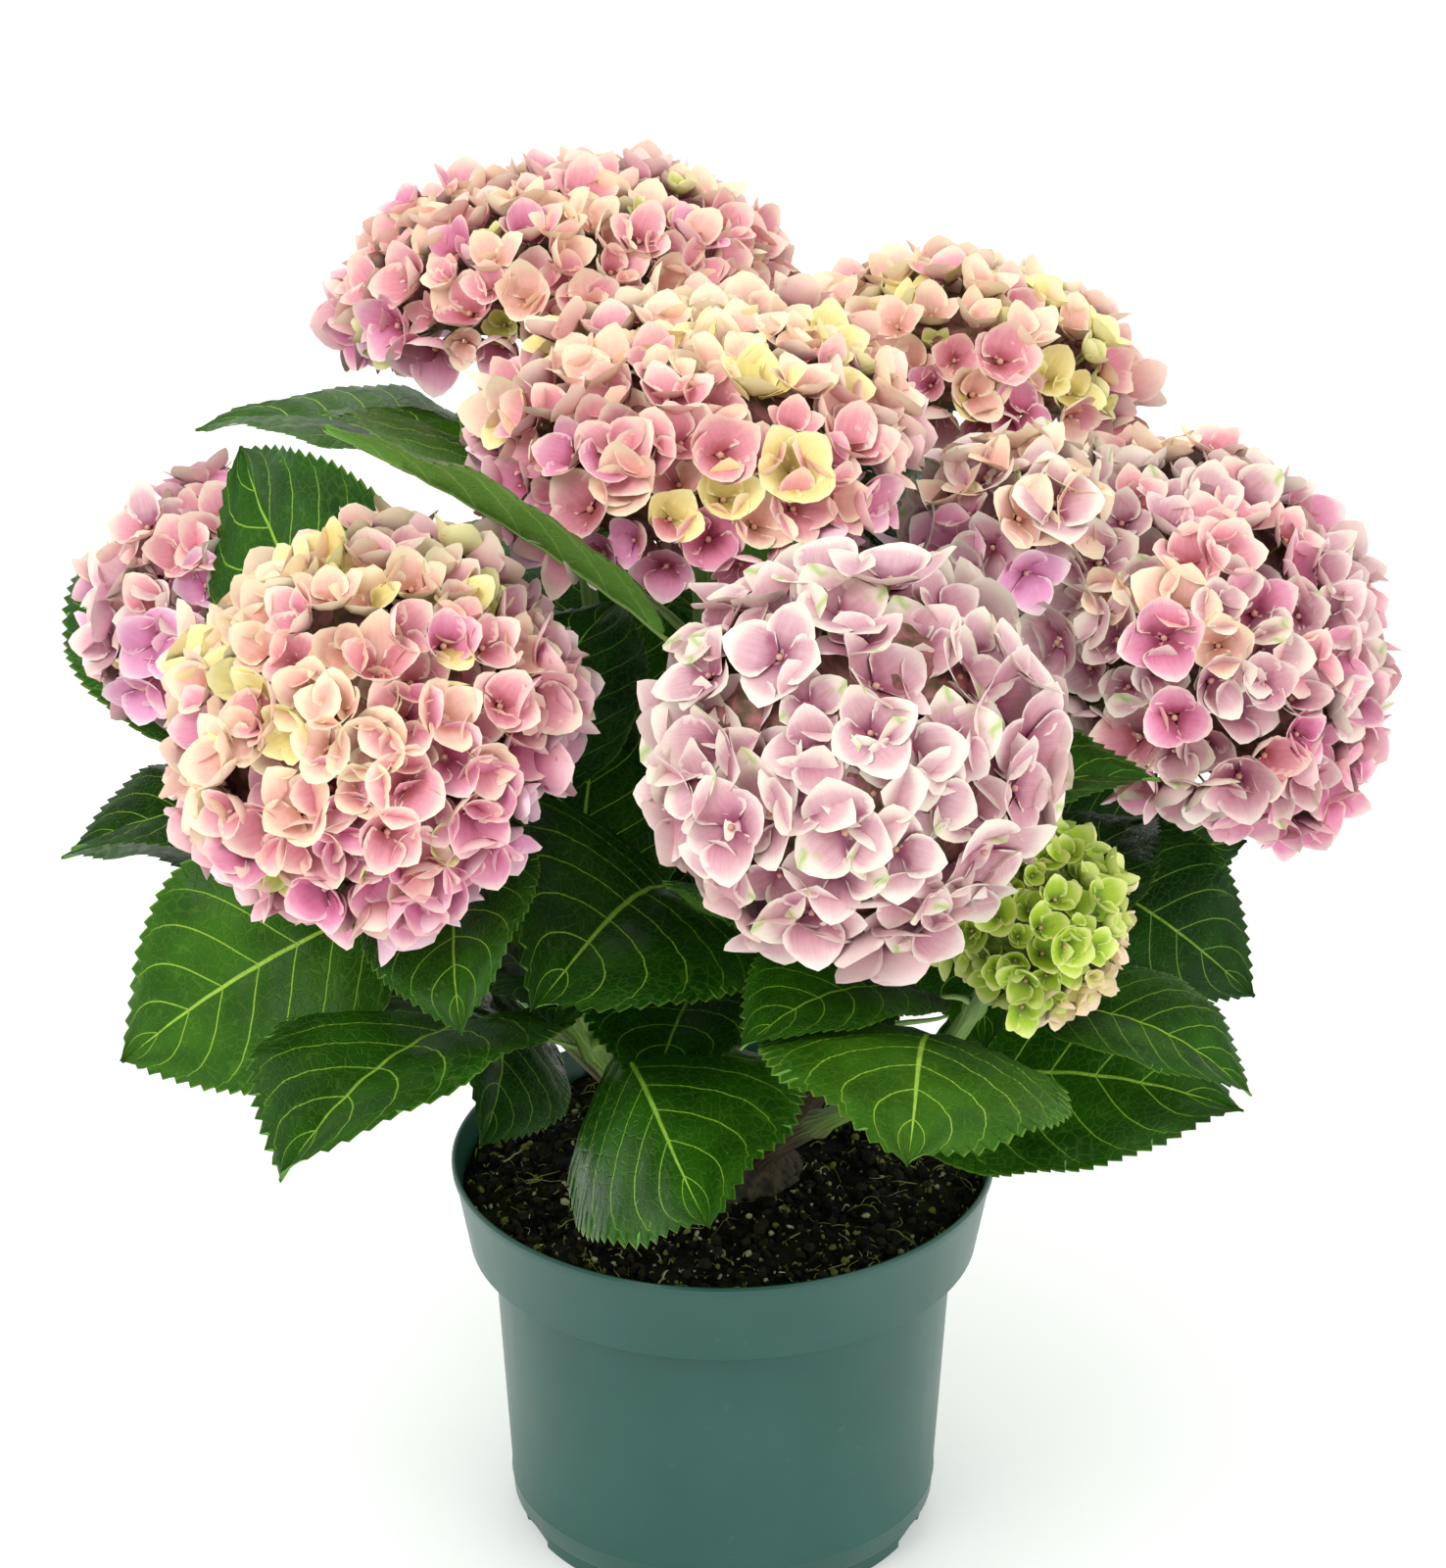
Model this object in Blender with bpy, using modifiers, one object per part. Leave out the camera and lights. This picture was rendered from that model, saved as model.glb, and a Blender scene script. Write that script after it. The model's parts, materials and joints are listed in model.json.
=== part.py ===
"""A potted mophead hydrangea, modelled as separate closed solids.

Units are metres and +Z is up.  The origin is the centre of the pot's flat underside, +X is the
plant's right and -Y its front.  Headings are degrees anticlockwise from +X, seen from above.

The pot is filled with soil.  A low woody crown sits on the soil and carries nine stems.  Each
stem ends where its mass of leaves begins, and each leafy shoot ends under its own flower head.
"""
import math
from collections import namedtuple

import bmesh
import bpy
from mathutils import Matrix, Vector
from mathutils.bvhtree import BVHTree
from mathutils.geometry import interpolate_bezier

GAP = 0.0003            # clear distance between neighbouring pieces
WELD = 0.00001          # corners nearer than this are one corner

# ---- pot ----
POT_RIM_RADIUS = 0.095
POT_HEIGHT = 0.140
BAND_HEIGHT = 0.032     # the plain collar under the rim
BAND_LOW_RADIUS = 0.0890
BODY_TOP_RADIUS = 0.0808
BODY_LOW_RADIUS = 0.0750
FOOT_RADIUS = 0.0720
FOOT_HEIGHT = 0.007
POT_WALL = 0.0018
POT_FLOOR_RADIUS = 0.0620   # inside, where the floor turns up into the wall
POT_CORNER = 0.0088     # height of that turn
POT_SEGMENTS = 36
DRAIN_NOTCHES = 8
NOTCH_SIZE = (0.005, 0.022, 0.010)      # depth, width, height

# ---- soil and crown ----
SOIL_EDGE_DROP = 0.011  # soil against the wall, below the rim
SOIL_MOUND = 0.005      # rise from the wall to the middle
SOIL_FLAT_RADIUS = 0.031
CROWN_LOW_RADIUS = 0.028
CROWN_SHOULDER_RADIUS = 0.0225
CROWN_TOP_RADIUS = 0.0215
CROWN_SHOULDER = 0.006
CROWN_HEIGHT = 0.010
CROWN_SEGMENTS = 24

# ---- stems ----
FOOT_RING = 0.0165      # distance of a stem's foot from the crown's middle
STEM_RADIUS = 0.0046    # at the foot
CUT_RADIUS = 0.0039     # where the leafy shoot takes over
NECK_RADIUS = 0.0027    # under the flower head
STEM_SPREAD = 0.50      # how far out the lower stem bows, as a share of the way to the head
STEM_LIFT = 0.30        # pull upward on leaving the foot, as a share of the reach
STEM_AIM = 0.22         # pull along the head's axis on arriving
STEM_SETTLE = 0.12      # pull downward on arriving
PATH_POINTS = 41
STEM_SHARE = 0.14       # the share of the whole stem that is bare
STEM_SIDES = 1          # bevel_resolution: 6 sides
STEM_POINTS = 4         # along a bare stem
SHOOT_POINTS = 11       # along a leafy shoot
CAP_RUN = 0.003         # straight run each side of a cut, which keeps the cut faces parallel

# ---- leaves ----
LEAF_THICKNESS = 0.0014
LEAF_WIDTH = 0.78       # of its length
LEAF_WIDEST = 0.40      # where it is widest, as a share of its length
LEAF_BASE_POWER = 2.2   # roundness of the outline behind the widest place
LEAF_TIP_POWER = 1.25   # slimness of the outline before it
LEAF_DROOP = math.radians(52.0)
LEAF_END = 0.0013       # half width kept at base and tip
LEAF_STEPS = 5
LEAF_CLEARANCE = 0.0009
PETIOLE_SHARE = 0.32    # of the blade's length
PETIOLE_LIFT = 24.0     # degrees a petiole climbs above its blade
PETIOLE_RADIUS = 0.0017
PETIOLE_FLARE = 1.3     # at the stem, against its end at the blade
PETIOLE_SINK = 0.005    # run of the petiole under the blade

# ---- flower heads ----
CORE_SHARE = 0.80       # the closed core, as a share of the head
UNDERSIDE = 0.72        # depth below the middle, as a share of the dome's height
FLORET_CUTS = 2         # cuts across each side of the cube that the core is rounded from
FLORET_SPREAD = 125.0   # degrees from the head's axis that carry florets
FLORET_FLARE = 0.88     # width of a floret's rim against its foot
FLORET_DISH = 0.06      # depth of its hollow, as a share of the head's radius
HEAD_TURN = 1.1         # radians that each head's florets are turned from the one before
HEAD_TURN_AXIS = (1.0, 2.0, 3.0)
NECK_RUN = 0.010        # bare peduncle under the head that belongs to the head's node
NECK_SINK = 0.3         # where the peduncle ends inside the core, in dome heights from its middle
NECK_FLARE = 1.6

# Bloom: middle of the head, radius across, dome height as a share of the radius, and the
#   axis as degrees off plumb and a heading.
# Leaf: heading and rise of the blade, its length, its roll about the midrib and the angle each
#   half is folded up from flat, all in degrees but the length.
# Pair: share of the way up the leafy shoot, then its outer and its inner leaf.
# Shoot: slot is the foot's place round the crown, in eighths of a turn from +X; None is middle.
Bloom = namedtuple("Bloom", "centre radius dome lean heading")
Leaf = namedtuple("Leaf", "heading rise length roll fold", defaults=(0, 10))
Pair = namedtuple("Pair", "along outer inner")
Shoot = namedtuple("Shoot", "name slot bloom pairs")

SHOOTS = (
    Shoot("right", 0, Bloom((0.153, -0.030, 0.347), 0.073, 0.80, 45, -25), (
        Pair(0.12, Leaf(18, -14, 0.095), Leaf(155, 0, 0.065)),
        Pair(0.28, Leaf(60, 5, 0.095), Leaf(-50, 15, 0.080)),
        Pair(0.52, Leaf(0, 7, 0.075, 74), Leaf(-90, -10, 0.080)),
        Pair(0.63, Leaf(-25, -25, 0.079, 45), Leaf(65, 40, 0.085)))),
    Shoot("back_right", 1, Bloom((0.078, 0.080, 0.397), 0.065, 0.64, 14, 60), (
        Pair(0.15, Leaf(30, -4, 0.120), Leaf(-90, -10, 0.070)),
        Pair(0.30, Leaf(80, 15, 0.110), Leaf(-10, 10, 0.085)),
        Pair(0.45, Leaf(10, 5, 0.115), Leaf(-170, 40, 0.090)),
        Pair(0.72, Leaf(70, 0, 0.110), Leaf(-75, 20, 0.090)))),
    Shoot("back", 2, Bloom((0.010, 0.190, 0.315), 0.066, 0.80, 50, 90), (
        Pair(0.20, Leaf(105, -6, 0.125), Leaf(-80, 40, 0.080)),
        Pair(0.34, Leaf(60, -5, 0.115), Leaf(155, 20, 0.090)),
        Pair(0.50, Leaf(30, 0, 0.120), Leaf(155, 20, 0.090)),
        Pair(0.75, Leaf(145, -20, 0.110), Leaf(-40, 60, 0.090)))),
    Shoot("back_left", 3, Bloom((-0.055, 0.110, 0.416), 0.079, 0.60, 12, 110), (
        Pair(0.20, Leaf(140, -4, 0.125), Leaf(-40, 60, 0.080)),
        Pair(0.33, Leaf(165, -5, 0.115), Leaf(95, 30, 0.090)),
        Pair(0.50, Leaf(125, 0, 0.120), Leaf(-135, 10, 0.090)),
        Pair(0.79, Leaf(166, 6, 0.115, 21), Leaf(0, 10, 0.090)))),
    Shoot("far_left", 4, Bloom((-0.168, 0.022, 0.340), 0.049, 0.85, 40, 165), (
        Pair(0.30, Leaf(174, 6, 0.121, 10), Leaf(-90, -13, 0.086, -54)),
        Pair(0.45, Leaf(120, -25, 0.105), Leaf(-120, -20, 0.080)),
        Pair(0.60, Leaf(-160, 4, 0.092), Leaf(90, 10, 0.090)),
        Pair(0.68, Leaf(134, 12, 0.131, -23), Leaf(-75, 20, 0.070)))),
    Shoot("front_left", 5, Bloom((-0.108, -0.130, 0.361), 0.069, 0.84, 48, -118), (
        Pair(0.20, Leaf(-62, 8, 0.124, 34, -34), Leaf(-180, 30, 0.080)),
        Pair(0.30, Leaf(-121, 0, 0.132, 11), Leaf(80, 50, 0.090)),
        Pair(0.69, Leaf(-177, -32, 0.109, -53), Leaf(65, 30, 0.090)),
        Pair(0.88, Leaf(-87, -20, 0.080, 27), Leaf(129, 32, 0.120, -70)))),
    Shoot("front_right", 6, Bloom((0.039, -0.170, 0.371), 0.070, 0.80, 50, -85), (
        Pair(0.20, None, Leaf(55, 60, 0.080)),
        Pair(0.45, Leaf(-105, 30, 0.085), Leaf(60, 20, 0.090)),
        Pair(0.68, Leaf(-98, 8, 0.070, 3), Leaf(-10, 20, 0.095)))),
    Shoot("young", 7, Bloom((0.094, -0.151, 0.308), 0.0345, 0.72, 35, -60), (
        Pair(0.07, Leaf(-14, 4, 0.116, 26), None),
        Pair(0.65, Leaf(-97, 13, 0.125, -23, -12), Leaf(45, 20, 0.090)),
        Pair(0.85, Leaf(-25, -12, 0.075), Leaf(-140, 5, 0.080)))),
    Shoot("middle", None, Bloom((-0.009, -0.050, 0.424), 0.072, 0.58, 12, -100), (
        Pair(0.12, Leaf(20, 30, 0.080), Leaf(-10, 40, 0.080)),
        Pair(0.36, Leaf(-111, 7, 0.128, -30), Leaf(45, 57, 0.095)),
        Pair(0.81, Leaf(145, 12, 0.132, 19, 5), Leaf(-20, 10, 0.085)))),
)

# colour and roughness of each finish
LEAF_FINISH = ((0.030, 0.110, 0.020), 0.45)
BARK_FINISH = ((0.200, 0.150, 0.080), 0.80)
POT_FINISH = ((0.055, 0.190, 0.150), 0.38)
SOIL_FINISH = ((0.022, 0.014, 0.009), 0.95)
PINK_FINISH = ((0.640, 0.270, 0.380), 0.55)
PALE_FINISH = ((0.780, 0.560, 0.640), 0.55)
LIME_FINISH = ((0.420, 0.560, 0.110), 0.55)
BLOOM_FINISHES = {"front_right": PALE_FINISH, "young": LIME_FINISH}


# ---------------------------------------------------------------- tools

def clear_scene():
    for thing in list(bpy.data.objects):
        bpy.data.objects.remove(thing)


def new_collection(name):
    group = bpy.data.collections.new(name)
    bpy.context.scene.collection.children.link(group)
    return group


def new_object(name, data, group):
    thing = bpy.data.objects.new(name, data)
    group.objects.link(thing)
    return thing


def mesh_object(name, bm, group):
    mesh = bpy.data.meshes.new(name)
    bm.normal_update()
    bm.to_mesh(mesh)
    bm.free()
    return new_object(name, mesh, group)


def apply_modifiers(thing):
    """Keep the evaluated mesh and drop the modifiers that made it."""
    evaluated = thing.evaluated_get(bpy.context.evaluated_depsgraph_get())
    thing.data = bpy.data.meshes.new_from_object(evaluated)
    thing.modifiers.clear()


def finish(thing, look):
    """Give a piece its own Principled material."""
    colour, roughness = look
    material = bpy.data.materials.new(thing.name)
    material.use_nodes = True
    shader = material.node_tree.nodes["Principled BSDF"]
    shader.inputs["Base Color"].default_value = (*colour, 1.0)
    shader.inputs["Roughness"].default_value = roughness
    thing.data.materials.clear()
    thing.data.materials.append(material)


def turned(name, profile, segments, group):
    """A solid of revolution from (radius, height) points, which run down the outer side."""
    bm = bmesh.new()
    corners = [bm.verts.new((radius, 0.0, height)) for radius, height in profile]
    for first, second in zip(corners, corners[1:]):
        bm.edges.new((first, second))
    thing = mesh_object(name, bm, group)
    screw = thing.modifiers.new("turn", "SCREW")
    screw.steps = screw.render_steps = segments
    screw.use_merge_vertices = True
    screw.merge_threshold = WELD
    return thing


def combine(thing, pieces, operation):
    """Fuse a collection of closed pieces into an object, or cut them out, and remove them."""
    boolean = thing.modifiers.new("combine", "BOOLEAN")
    boolean.operation = operation
    boolean.operand_type = "COLLECTION"
    boolean.collection = pieces
    boolean.solver = "MANIFOLD"
    apply_modifiers(thing)
    for piece in list(pieces.objects):
        bpy.data.objects.remove(piece)
    bpy.data.collections.remove(pieces)


def tube(name, points, radii, group):
    """A tapering limb with welded caps, along a list of points."""
    curve = bpy.data.curves.new(name, "CURVE")
    curve.dimensions = "3D"
    curve.bevel_depth = 1.0
    curve.bevel_resolution = STEM_SIDES
    curve.use_fill_caps = True
    spline = curve.splines.new("POLY")
    spline.points.add(len(points) - 1)
    for knot, place, radius in zip(spline.points, points, radii):
        knot.co = (*place, 1.0)
        knot.radius = radius
    guide = new_object(name, curve, group)
    evaluated = guide.evaluated_get(bpy.context.evaluated_depsgraph_get())
    mesh = bpy.data.meshes.new_from_object(evaluated)
    bpy.data.objects.remove(guide)
    bm = bmesh.new()
    bm.from_mesh(mesh)
    bmesh.ops.remove_doubles(bm, verts=bm.verts, dist=WELD)
    return mesh_object(name, bm, group)


def direction(heading, rise):
    """The unit vector with a compass heading and an angle above level, in degrees."""
    flat = math.cos(math.radians(rise))
    turn = math.radians(heading)
    return Vector((flat * math.cos(turn), flat * math.sin(turn), math.sin(math.radians(rise))))


# ---------------------------------------------------------------- pot, soil, crown

def pot_inner_radius(height):
    """Radius of the pot's inner wall at a height."""
    if height > POT_HEIGHT - BAND_HEIGHT:
        share = (POT_HEIGHT - height) / BAND_HEIGHT
        outer = POT_RIM_RADIUS + (BAND_LOW_RADIUS - POT_RIM_RADIUS) * share
        return outer - POT_WALL
    body_height = POT_HEIGHT - BAND_HEIGHT
    outer = BODY_LOW_RADIUS + (BODY_TOP_RADIUS - BODY_LOW_RADIUS) * height / body_height
    return outer - POT_WALL


def make_pot(group):
    band_low = POT_HEIGHT - BAND_HEIGHT
    floor = FOOT_HEIGHT + POT_WALL
    step = POT_WALL * 2.0
    profile = (
        (0.0, floor),
        (POT_FLOOR_RADIUS, floor),
        (pot_inner_radius(floor + POT_CORNER), floor + POT_CORNER),
        (BODY_TOP_RADIUS - POT_WALL, band_low - step),
        (BAND_LOW_RADIUS - POT_WALL, band_low + step),
        (POT_RIM_RADIUS - POT_WALL, POT_HEIGHT),
        (POT_RIM_RADIUS, POT_HEIGHT),
        (BAND_LOW_RADIUS, band_low),
        (BODY_TOP_RADIUS, band_low),
        (BODY_LOW_RADIUS, FOOT_HEIGHT),
        (FOOT_RADIUS, FOOT_HEIGHT),
        (FOOT_RADIUS, 0.0),
        (0.0, 0.0),
    )
    pot = turned("pot", profile, POT_SEGMENTS, group)
    apply_modifiers(pot)
    cutters = new_collection("drain notches")
    for number in range(DRAIN_NOTCHES):
        turn = math.tau * (number + 0.5) / DRAIN_NOTCHES
        bm = bmesh.new()
        bmesh.ops.create_cube(bm, size=1.0)
        bmesh.ops.scale(bm, vec=NOTCH_SIZE, verts=bm.verts)
        bmesh.ops.translate(bm, vec=(FOOT_RADIUS, 0.0, 0.0), verts=bm.verts)
        bmesh.ops.rotate(bm, cent=(0, 0, 0), matrix=Matrix.Rotation(turn, 3, "Z"), verts=bm.verts)
        mesh_object(f"notch {number}", bm, cutters)
    combine(pot, cutters, "DIFFERENCE")
    finish(pot, POT_FINISH)
    return pot


def make_soil(group):
    edge = POT_HEIGHT - SOIL_EDGE_DROP
    band_low = POT_HEIGHT - BAND_HEIGHT
    floor = FOOT_HEIGHT + POT_WALL
    step = POT_WALL * 2.0
    profile = (
        (0.0, edge + SOIL_MOUND),
        (SOIL_FLAT_RADIUS, edge + SOIL_MOUND),
        (pot_inner_radius(edge) - GAP, edge),
        (BAND_LOW_RADIUS - POT_WALL - GAP, band_low + step),
        (BODY_TOP_RADIUS - POT_WALL - GAP, band_low - step),
        (pot_inner_radius(floor + POT_CORNER) - GAP, floor + POT_CORNER),
        (POT_FLOOR_RADIUS - GAP, floor + GAP),
        (0.0, floor + GAP),
    )
    soil = turned("soil", profile, POT_SEGMENTS, group)
    apply_modifiers(soil)
    finish(soil, SOIL_FINISH)
    return soil


def crown_base():
    return POT_HEIGHT - SOIL_EDGE_DROP + SOIL_MOUND + GAP


def make_crown(group):
    low = crown_base()
    profile = (
        (0.0, low + CROWN_HEIGHT),
        (CROWN_TOP_RADIUS, low + CROWN_HEIGHT),
        (CROWN_SHOULDER_RADIUS, low + CROWN_SHOULDER),
        (CROWN_LOW_RADIUS, low),
        (0.0, low),
    )
    crown = turned("woody_crown", profile, CROWN_SEGMENTS, group)
    apply_modifiers(crown)
    finish(crown, BARK_FINISH)
    return crown


# ---------------------------------------------------------------- stems

def foot_of(shoot):
    height = crown_base() + CROWN_HEIGHT + GAP
    if shoot.slot is None:
        return Vector((0.0, 0.0, height))
    turn = shoot.slot * math.tau / 8.0
    return Vector((FOOT_RING * math.cos(turn), FOOT_RING * math.sin(turn), height))


def axis_of(bloom):
    return direction(bloom.heading, 90.0 - bloom.lean)


def neck_of(bloom):
    """The lower end of the peduncle that belongs to the flower head."""
    depth = bloom.radius * bloom.dome * UNDERSIDE + NECK_RUN
    return Vector(bloom.centre) - axis_of(bloom) * depth


def stem_path(shoot):
    """Points from the foot on the crown to the neck under the flower head."""
    foot = foot_of(shoot)
    neck = neck_of(shoot.bloom)
    reach = (neck - foot).length
    outward = Vector((neck.x - foot.x, neck.y - foot.y, 0.0))
    upward = Vector((0.0, 0.0, reach))
    rising = foot + outward * STEM_SPREAD + upward * STEM_LIFT
    arriving = neck - axis_of(shoot.bloom) * reach * STEM_AIM - upward * STEM_SETTLE
    return interpolate_bezier(foot, rising, arriving, neck, PATH_POINTS)


def place_on(path, share):
    """A point and its direction at a share of the path's point count."""
    spot = share * (len(path) - 1)
    index = min(int(spot), len(path) - 2)
    point = path[index].lerp(path[index + 1], spot - index)
    return point, (path[index + 1] - path[index]).normalized()


def gap_share(path):
    """The share of a path that covers one gap at the place where the leafy shoot begins."""
    index = int(STEM_SHARE * (len(path) - 1))
    run = (path[index + 1] - path[index]).length
    return GAP / (run * (len(path) - 1))


def limb(name, path, span, radii, group, points, departure=None, arrival=None):
    """The tapering limb between two shares of a path, with a straight run at each end."""
    start, end = span
    radius_low, radius_top = radii
    shares = [start + (end - start) * step / (points - 1) for step in range(points)]
    places = [place_on(path, share)[0] for share in shares]
    first, way_in = place_on(path, start)
    last, way_out = place_on(path, end)
    places[0] = first
    places.insert(1, first + (departure or way_in) * CAP_RUN)
    places[-1] = last
    places.insert(-1, last - (arrival or way_out) * CAP_RUN)
    last_step = len(places) - 1
    taper = (radius_top - radius_low) / last_step
    return tube(name, places, [radius_low + taper * step for step in range(last_step + 1)], group)


def leafy_limb(name, shoot, path, group):
    """The upper run of a stem, which ends square to the peduncle of its flower head."""
    span = (STEM_SHARE + gap_share(path), 1.0)
    radii = (CUT_RADIUS, NECK_RADIUS)
    return limb(name, path, span, radii, group, SHOOT_POINTS, arrival=axis_of(shoot.bloom))


def make_stem(shoot, path, group):
    """The bare foot of a stem, which stands square on the crown."""
    span = (0.0, STEM_SHARE)
    radii = (STEM_RADIUS, CUT_RADIUS)
    upright = Vector((0.0, 0.0, 1.0))
    stem = limb(f"stem_{shoot.name}", path, span, radii, group, STEM_POINTS, departure=upright)
    finish(stem, BARK_FINISH)
    return stem


# ---------------------------------------------------------------- leaves

def leaf_half_width(share):
    """Half the blade's width at a share of its length, for a blade one unit wide."""
    if share < LEAF_WIDEST:
        away = (LEAF_WIDEST - share) / LEAF_WIDEST
        return 0.5 * math.sqrt(max(0.0, 1.0 - away ** LEAF_BASE_POWER))
    away = (share - LEAF_WIDEST) / (1.0 - LEAF_WIDEST)
    return 0.5 * (1.0 - away ** 2) ** LEAF_TIP_POWER


def leaf_point(share, side, leaf):
    """A point of the blade in its own frame: X along the midrib's chord, Y to the left."""
    bend = LEAF_DROOP * (0.5 - share)
    radius = leaf.length / LEAF_DROOP
    along = radius * (math.sin(LEAF_DROOP / 2.0) - math.sin(bend))
    lift = radius * (math.cos(bend) - math.cos(LEAF_DROOP / 2.0))
    half = max(LEAF_END, leaf_half_width(share) * leaf.length * LEAF_WIDTH)
    fold = math.radians(leaf.fold)
    return Vector((along, side * half * math.cos(fold), lift + abs(side) * half * math.sin(fold)))


def leaf_frame(base, leaf):
    """The matrix that puts a blade at its base, along its heading."""
    along = direction(leaf.heading, leaf.rise)
    left = Vector((0.0, 0.0, 1.0)).cross(along).normalized()
    normal = along.cross(left)
    turn = Matrix.Rotation(math.radians(leaf.roll), 3, along)
    left = turn @ left
    normal = turn @ normal
    frame = Matrix((along, left, normal)).transposed().to_4x4()
    frame.translation = base
    return frame


def make_blade(name, frame, leaf, thickness, group):
    bm = bmesh.new()
    bmesh.ops.create_grid(bm, x_segments=LEAF_STEPS, y_segments=2, size=1.0)
    for corner in bm.verts:
        corner.co = frame @ leaf_point((corner.co.x + 1.0) / 2.0, corner.co.y, leaf)
    blade = mesh_object(name, bm, group)
    solidify = blade.modifiers.new("thickness", "SOLIDIFY")
    solidify.thickness = thickness
    solidify.offset = 0.0
    apply_modifiers(blade)
    return blade


def make_petiole(name, start, end, group):
    """A three-sided stalk, sunk into the stem at its start and the blade at its end."""
    way = end - start
    bm = bmesh.new()
    turn = way.to_track_quat("Z", "Y").to_matrix().to_4x4()
    middle = Matrix.Translation((start + end) / 2.0)
    bmesh.ops.create_cone(bm, cap_ends=True, segments=3, radius1=PETIOLE_RADIUS * PETIOLE_FLARE,
                          radius2=PETIOLE_RADIUS, depth=way.length, matrix=middle @ turn)
    return mesh_object(name, bm, group)


def tree_of(thing):
    return BVHTree.FromObject(thing, bpy.context.evaluated_depsgraph_get())


def leaves_of(shoot):
    """Every leaf on a shoot, with its share of the whole path."""
    for pair in shoot.pairs:
        along = STEM_SHARE + (1.0 - STEM_SHARE) * pair.along
        for leaf in (pair.outer, pair.inner):
            if leaf:
                yield along, leaf


def make_leaf(label, path, along, leaf, pieces):
    """One leaf on its petiole, and a thicker copy that tests its clearance."""
    node, _ = place_on(path, along)
    climb = direction(leaf.heading, leaf.rise + PETIOLE_LIFT)
    base = node + climb * leaf.length * PETIOLE_SHARE
    blade_way = direction(leaf.heading, leaf.rise + math.degrees(LEAF_DROOP) / 2.0)
    frame = leaf_frame(base, leaf)
    parts = [
        make_blade(f"blade {label}", frame, leaf, LEAF_THICKNESS, pieces),
        make_petiole(f"petiole {label}", node, base + blade_way * PETIOLE_SINK, pieces),
    ]
    tester = make_blade("tester", frame, leaf, LEAF_THICKNESS + 2 * LEAF_CLEARANCE, pieces)
    trees = [tree_of(tester), tree_of(parts[1])]
    bpy.data.objects.remove(tester)
    return parts, trees


def make_shoot(shoot, path, group, obstacles, skipped):
    """A leafy shoot: the stem's upper run with every leaf that has room, fused into one."""
    name = f"leaves_{shoot.name}"
    body = leafy_limb(name, shoot, path, group)
    pieces = new_collection(f"{name} pieces")
    for place, (along, leaf) in enumerate(leaves_of(shoot)):
        parts, trees = make_leaf(f"{shoot.name} {place}", path, along, leaf, pieces)
        touching = [owner for owner, tree in obstacles
                    if owner != name and any(tree.overlap(mine) for mine in trees)]
        if touching:
            skipped.append((name, place, touching))
            for part in parts:
                bpy.data.objects.remove(part)
            continue
        obstacles.extend((name, tree) for tree in trees)
    if pieces.objects:
        combine(body, pieces, "UNION")
    finish(body, LEAF_FINISH)
    return body


# ---------------------------------------------------------------- flower heads

def dome_point(bloom, way, share):
    """A point of the head, in its own frame, at a share of its size and in a unit direction."""
    across = bloom.radius * share
    height = across * bloom.dome
    if way.z < 0.0:
        height *= UNDERSIDE
    return Vector((way.x * across, way.y * across, way.z * height))


def raise_florets(bm):
    """Draw each face of the unit core out into a four-cornered floret with a hollow middle."""
    lowest = math.cos(math.radians(FLORET_SPREAD))
    budding = [face for face in bm.faces if face.calc_center_median().normalized().z > lowest]
    raised = bmesh.ops.extrude_discrete_faces(bm, faces=budding)["faces"]
    for face in raised:
        middle = face.calc_center_median()
        for corner in face.verts:
            spread = middle + (corner.co - middle) * FLORET_FLARE
            corner.co = spread.normalized() / CORE_SHARE
    bmesh.ops.poke(bm, faces=raised, offset=-FLORET_DISH)


def make_bloom(shoot, number, group):
    bloom = shoot.bloom
    name = f"bloom_{shoot.name}"
    bm = bmesh.new()
    bmesh.ops.create_cube(bm, size=2.0)
    bmesh.ops.subdivide_edges(bm, edges=bm.edges, cuts=FLORET_CUTS, use_grid_fill=True)
    spin = Matrix.Rotation(number * HEAD_TURN, 3, Vector(HEAD_TURN_AXIS))
    for corner in bm.verts:
        corner.co = spin @ corner.co.normalized()
    raise_florets(bm)
    turn = axis_of(bloom).to_track_quat("Z", "Y").to_matrix().to_4x4()
    frame = Matrix.Translation(bloom.centre) @ turn
    for corner in bm.verts:
        distance = corner.co.length
        corner.co = frame @ dome_point(bloom, corner.co / distance, distance * CORE_SHARE)
    head = mesh_object(name, bm, group)
    pieces = new_collection(f"{name} pieces")
    axis = axis_of(bloom)
    neck = neck_of(bloom) + axis * GAP
    inside = Vector(bloom.centre) - axis * bloom.radius * bloom.dome * NECK_SINK
    tube(f"{name} neck", (neck, neck + axis * CAP_RUN, inside),
         (NECK_RADIUS, NECK_RADIUS, NECK_RADIUS * NECK_FLARE), pieces)
    combine(head, pieces, "UNION")
    finish(head, BLOOM_FINISHES.get(shoot.name, PINK_FINISH))
    return head


# ---------------------------------------------------------------- the plant

def main():
    """Build every solid; returns the leaves left out for want of room."""
    clear_scene()
    plant = new_collection("potted hydrangea")
    solids = [make_pot(plant), make_soil(plant), make_crown(plant)]
    paths = [stem_path(shoot) for shoot in SHOOTS]
    for number, (shoot, path) in enumerate(zip(SHOOTS, paths)):
        solids.append(make_stem(shoot, path, plant))
        solids.append(make_bloom(shoot, number, plant))
    obstacles = [(solid.name, tree_of(solid)) for solid in solids]
    for shoot, path in zip(SHOOTS, paths):
        upper = leafy_limb("upper", shoot, path, plant)
        obstacles.append((f"leaves_{shoot.name}", tree_of(upper)))
        bpy.data.objects.remove(upper)
    skipped = []
    for shoot, path in zip(SHOOTS, paths):
        make_shoot(shoot, path, plant, obstacles, skipped)
    return skipped


if __name__ == "__main__":
    main()
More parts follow.
